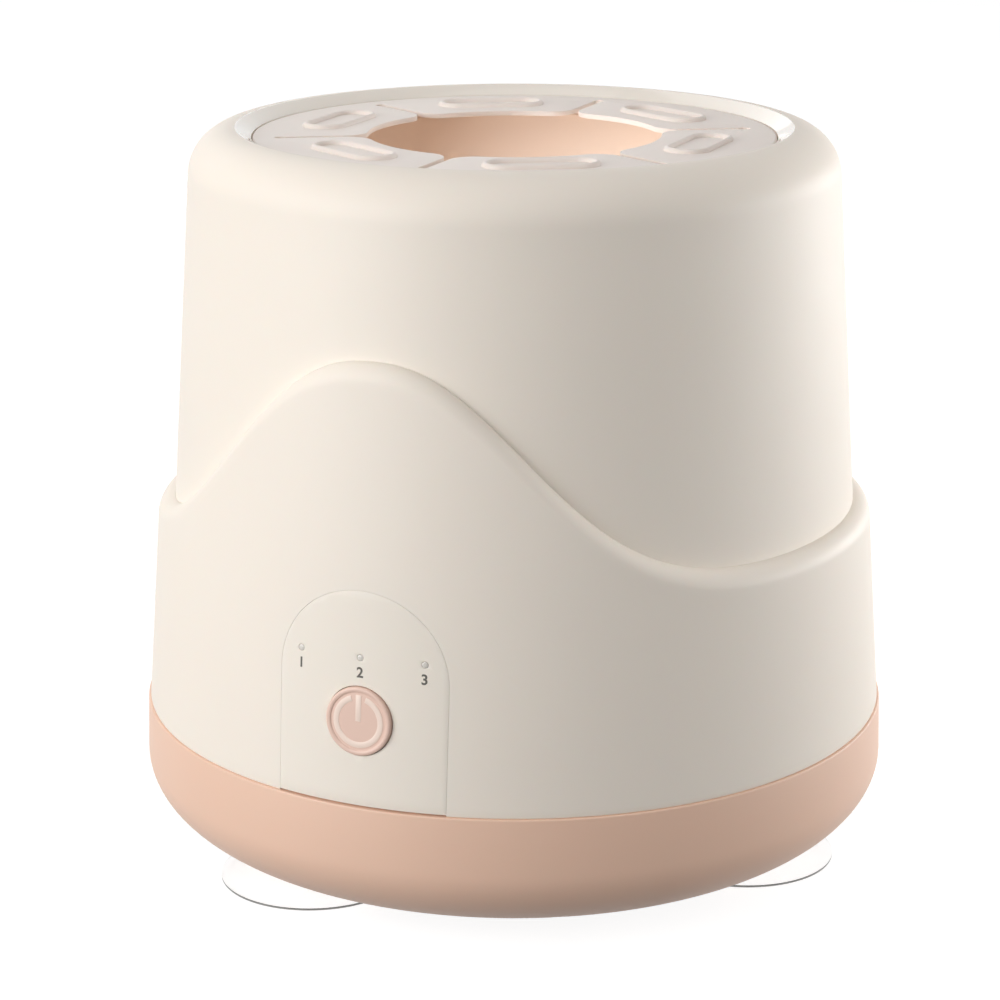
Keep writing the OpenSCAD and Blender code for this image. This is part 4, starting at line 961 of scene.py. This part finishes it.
def makeSeat():
    centre, r, rimZ = (seatLow.x + seatHigh.x) / 2, (seatHigh.x - seatLow.x) / 2, seatHigh.z
    wall, soft, inner, floorZ = seat["wall"], seat["soft"], seat["inner"], seat["floorZ"]
    underZ, roofZ = floorZ - wall, floorZ - seat["roof"]
    profile = [(tiny, roofZ), (seat["bearing"], roofZ), (seat["bearing"], seat["hubZ"]), (seat["hub"], seat["hubZ"])]
    profile += [(seat["hub"], underZ)] + arc(r - wall, underZ + wall, wall, wall, -90, 0, 8)
    profile += arc(r - soft, rimZ - soft, soft, soft, 0, 90, 5)
    profile += arc(r - wall + soft, rimZ - soft, soft, soft, 90, 180, 5)
    profile += arc(r - wall - inner, floorZ + inner, inner, inner, 0, -90, 5) + [(tiny, floorZ)]
    dish = turned("seat_dish", profile, poles=True)
    smooth(dish, 32)
    dish.location = (centre * mm, 0, 0)
    settle(dish)
    dress(dish, blushPlastic, "blush_plastic", "seat", "bottle_seat")
    padR, skinZ, half = (padHigh.x - padLow.x) / 2, padHigh.z - seat["ribH"], seat["ribW"] / 2
    edge = seat["padEdge"]
    profile = [(tiny, padLow.z), (padR, padLow.z)] + arc(padR - edge, skinZ - edge, edge, edge, 0, 90, 4)
    for share in reversed(seat["ribs"]):
        profile += arc(share * padR + half, skinZ, half, seat["ribH"], 0, 180, 8)
    mat = turned("seat_mat", profile + [(tiny, skinZ)], poles=True)
    smooth(mat, 40)
    mat.location = (centre * mm, 0, 0)
    settle(mat)
    dress(mat, greySilicone, "grey_silicone", "seat", "seat_pad")


makeLiner()
makeSeat()
print("well, seat and pad made")


# Charge socket: a rolled steel shell with round ends and a dark tongue inside
socket = {"skin": 0.3, "back": 1.6, "edge": 0.08, "tongueW": 6.6, "tongueT": 0.75, "tongueEnd": 1.0, "tongueEdge": 0.2}


def makeSocket():
    size, middle = socketHigh - socketLow, (socketLow + socketHigh) / 2
    deep = size.y - socket["back"]
    shell = slotShape("socket_shell", size.x, size.z, socketLow.y, middle.z)
    extrudeBy(0, size.y, 0)
    bpy.ops.mesh.inset(thickness=socket["skin"] * mm, depth=0)
    extrudeBy(0, -deep, 0)
    squareUp(shell)
    roundEdges(shell, socket["edge"], 2, 60)
    smooth(shell, 40)
    dress(shell, steelFinish, "steel", "housing", "charge_socket")
    freshStart()
    tongueY = middle.y + socket["back"] / 2 - socket["tongueEnd"]
    bpy.ops.mesh.primitive_cube_add(size=1, location=(0, tongueY * mm, middle.z * mm))
    tongue = named("socket_tongue")
    tongue.scale = (socket["tongueW"] * mm, deep * mm, socket["tongueT"] * mm)
    settle(tongue)
    roundEdges(tongue, socket["tongueEdge"], 3, 40)
    smooth(tongue, 40)
    dress(tongue, blackPlastic, "black_plastic", "housing")


# Dark seal round the socket's mouth, with round ends and a slot that the socket comes through
seal = {"w": 17.0, "h": 9.2, "t": 1.2, "back": 0.5, "gap": 0.06, "edge": 0.2}


def makeSeal():
    size, middle = socketHigh - socketLow, (socketLow + socketHigh) / 2
    frontY = socketHigh.y - seal["back"]
    plate = slotShape("port_seal", seal["w"], seal["h"], frontY - seal["t"], middle.z)
    extrudeBy(0, seal["t"], 0)
    squareUp(plate)
    hole = slotShape("sealHole", size.x + 2 * seal["gap"], size.z + 2 * seal["gap"], frontY - 3 * seal["t"], middle.z)
    extrudeBy(0, 6 * seal["t"], 0)
    carve(plate, squareUp(hole))
    roundEdges(plate, seal["edge"], 2, 50)
    smooth(plate, 40)
    dress(plate, blackPlastic, "black_plastic", "housing")


makeSocket()
makeSeal()
print("charge socket made")


# Floor and studio light
studio = {"floor": 3.0, "floorTone": 0.16, "glow": 0.88, "catch": 0.34, "ambient": 0.405, "aimZ": 0.08}
lamps = {
    "keyBox": {"turn": -34, "rise": 12, "far": 0.75, "width": 0.6, "height": 0.6, "power": 4.7},
    "rimBox": {"turn": 128, "rise": 2, "far": 0.85, "width": 1.1, "height": 0.26, "power": 6.4},
    "topBox": {"turn": 0, "rise": 89, "far": 0.8, "width": 0.6, "height": 0.6, "power": 0.5},
    "backBox": {"turn": -135, "rise": 35, "far": 0.8, "width": 0.6, "height": 0.6, "power": 0.7},
    "wellBox": {"turn": 0, "rise": 89, "far": 0.038, "width": 0.036, "height": 0.036, "power": 0.0175}}
wellAim = {"turn": 145, "dip": 30}


def seenDirectly(tree):
    path = addNode(tree, "ShaderNodeLightPath")
    bent = combine(tree, "MAXIMUM", path.outputs["Is Glossy Ray"], path.outputs["Is Transmission Ray"])
    return combine(tree, "MAXIMUM", path.outputs["Is Camera Ray"], bent)


def makeFloor():
    freshStart()
    bpy.ops.mesh.primitive_plane_add(size=studio["floor"])
    floor = named("studio_floor")
    cover = bpy.data.materials.new("floorPaper")
    cover.use_nodes = True
    tree = cover.node_tree
    tree.nodes.clear()
    out = addNode(tree, "ShaderNodeOutputMaterial")
    tone, catch = studio["floorTone"], studio["catch"]
    plain = addNode(tree, "ShaderNodeBsdfDiffuse", Color=(tone, tone, tone, 1))
    pale = addNode(tree, "ShaderNodeBsdfDiffuse", Color=(catch, catch, catch, 1))
    glow = addNode(tree, "ShaderNodeEmission", Strength=studio["glow"])
    both, mix = addNode(tree, "ShaderNodeAddShader"), addNode(tree, "ShaderNodeMixShader")
    wires = [(pale.outputs[0], both.inputs[0]), (glow.outputs[0], both.inputs[1]), (seenDirectly(tree), mix.inputs[0]),
             (plain.outputs[0], mix.inputs[1]), (both.outputs[0], mix.inputs[2]), (mix.outputs[0], out.inputs[0])]
    for start, end in wires:
        tree.links.new(start, end)
    floor.data.materials.append(cover)


def makeWorld():
    world = bpy.data.worlds.new("studioWorld")
    world.use_nodes = True
    bpy.context.scene.world = world
    tree = world.node_tree
    level = remap(tree, seenDirectly(tree), studio["ambient"], 1)
    tree.links.new(level, tree.nodes["Background"].inputs["Strength"])
    tree.nodes["Background"].inputs["Color"].default_value = (1, 1, 1, 1)


def softbox(name, turn, rise, far, width, height, power):
    aim = Vector((0, 0, studio["aimZ"]))
    place = aim + around(turn, far * cos(radians(rise)), far * sin(radians(rise)))
    bpy.ops.object.light_add(type="AREA", location=place)
    lamp = bpy.context.object
    lamp.name = name
    lamp.data.shape = "RECTANGLE"
    lamp.data.size, lamp.data.size_y = width, height
    lamp.data.energy = power
    lamp.rotation_euler = (place - aim).to_track_quat("Z", "Y").to_euler()
    return lamp


makeFloor()
makeWorld()
freshStart()
for name, lamp in lamps.items():
    lastBox = softbox(name, **lamp)
dip = radians(wellAim["dip"])
lastBox.rotation_euler = around(wellAim["turn"], -cos(dip), sin(dip)).to_track_quat("Z", "Y").to_euler()
lastBox.visible_camera = False  # the small lamp in the well
bpy.context.scene.view_settings.view_transform = "Standard"
print("studio made")
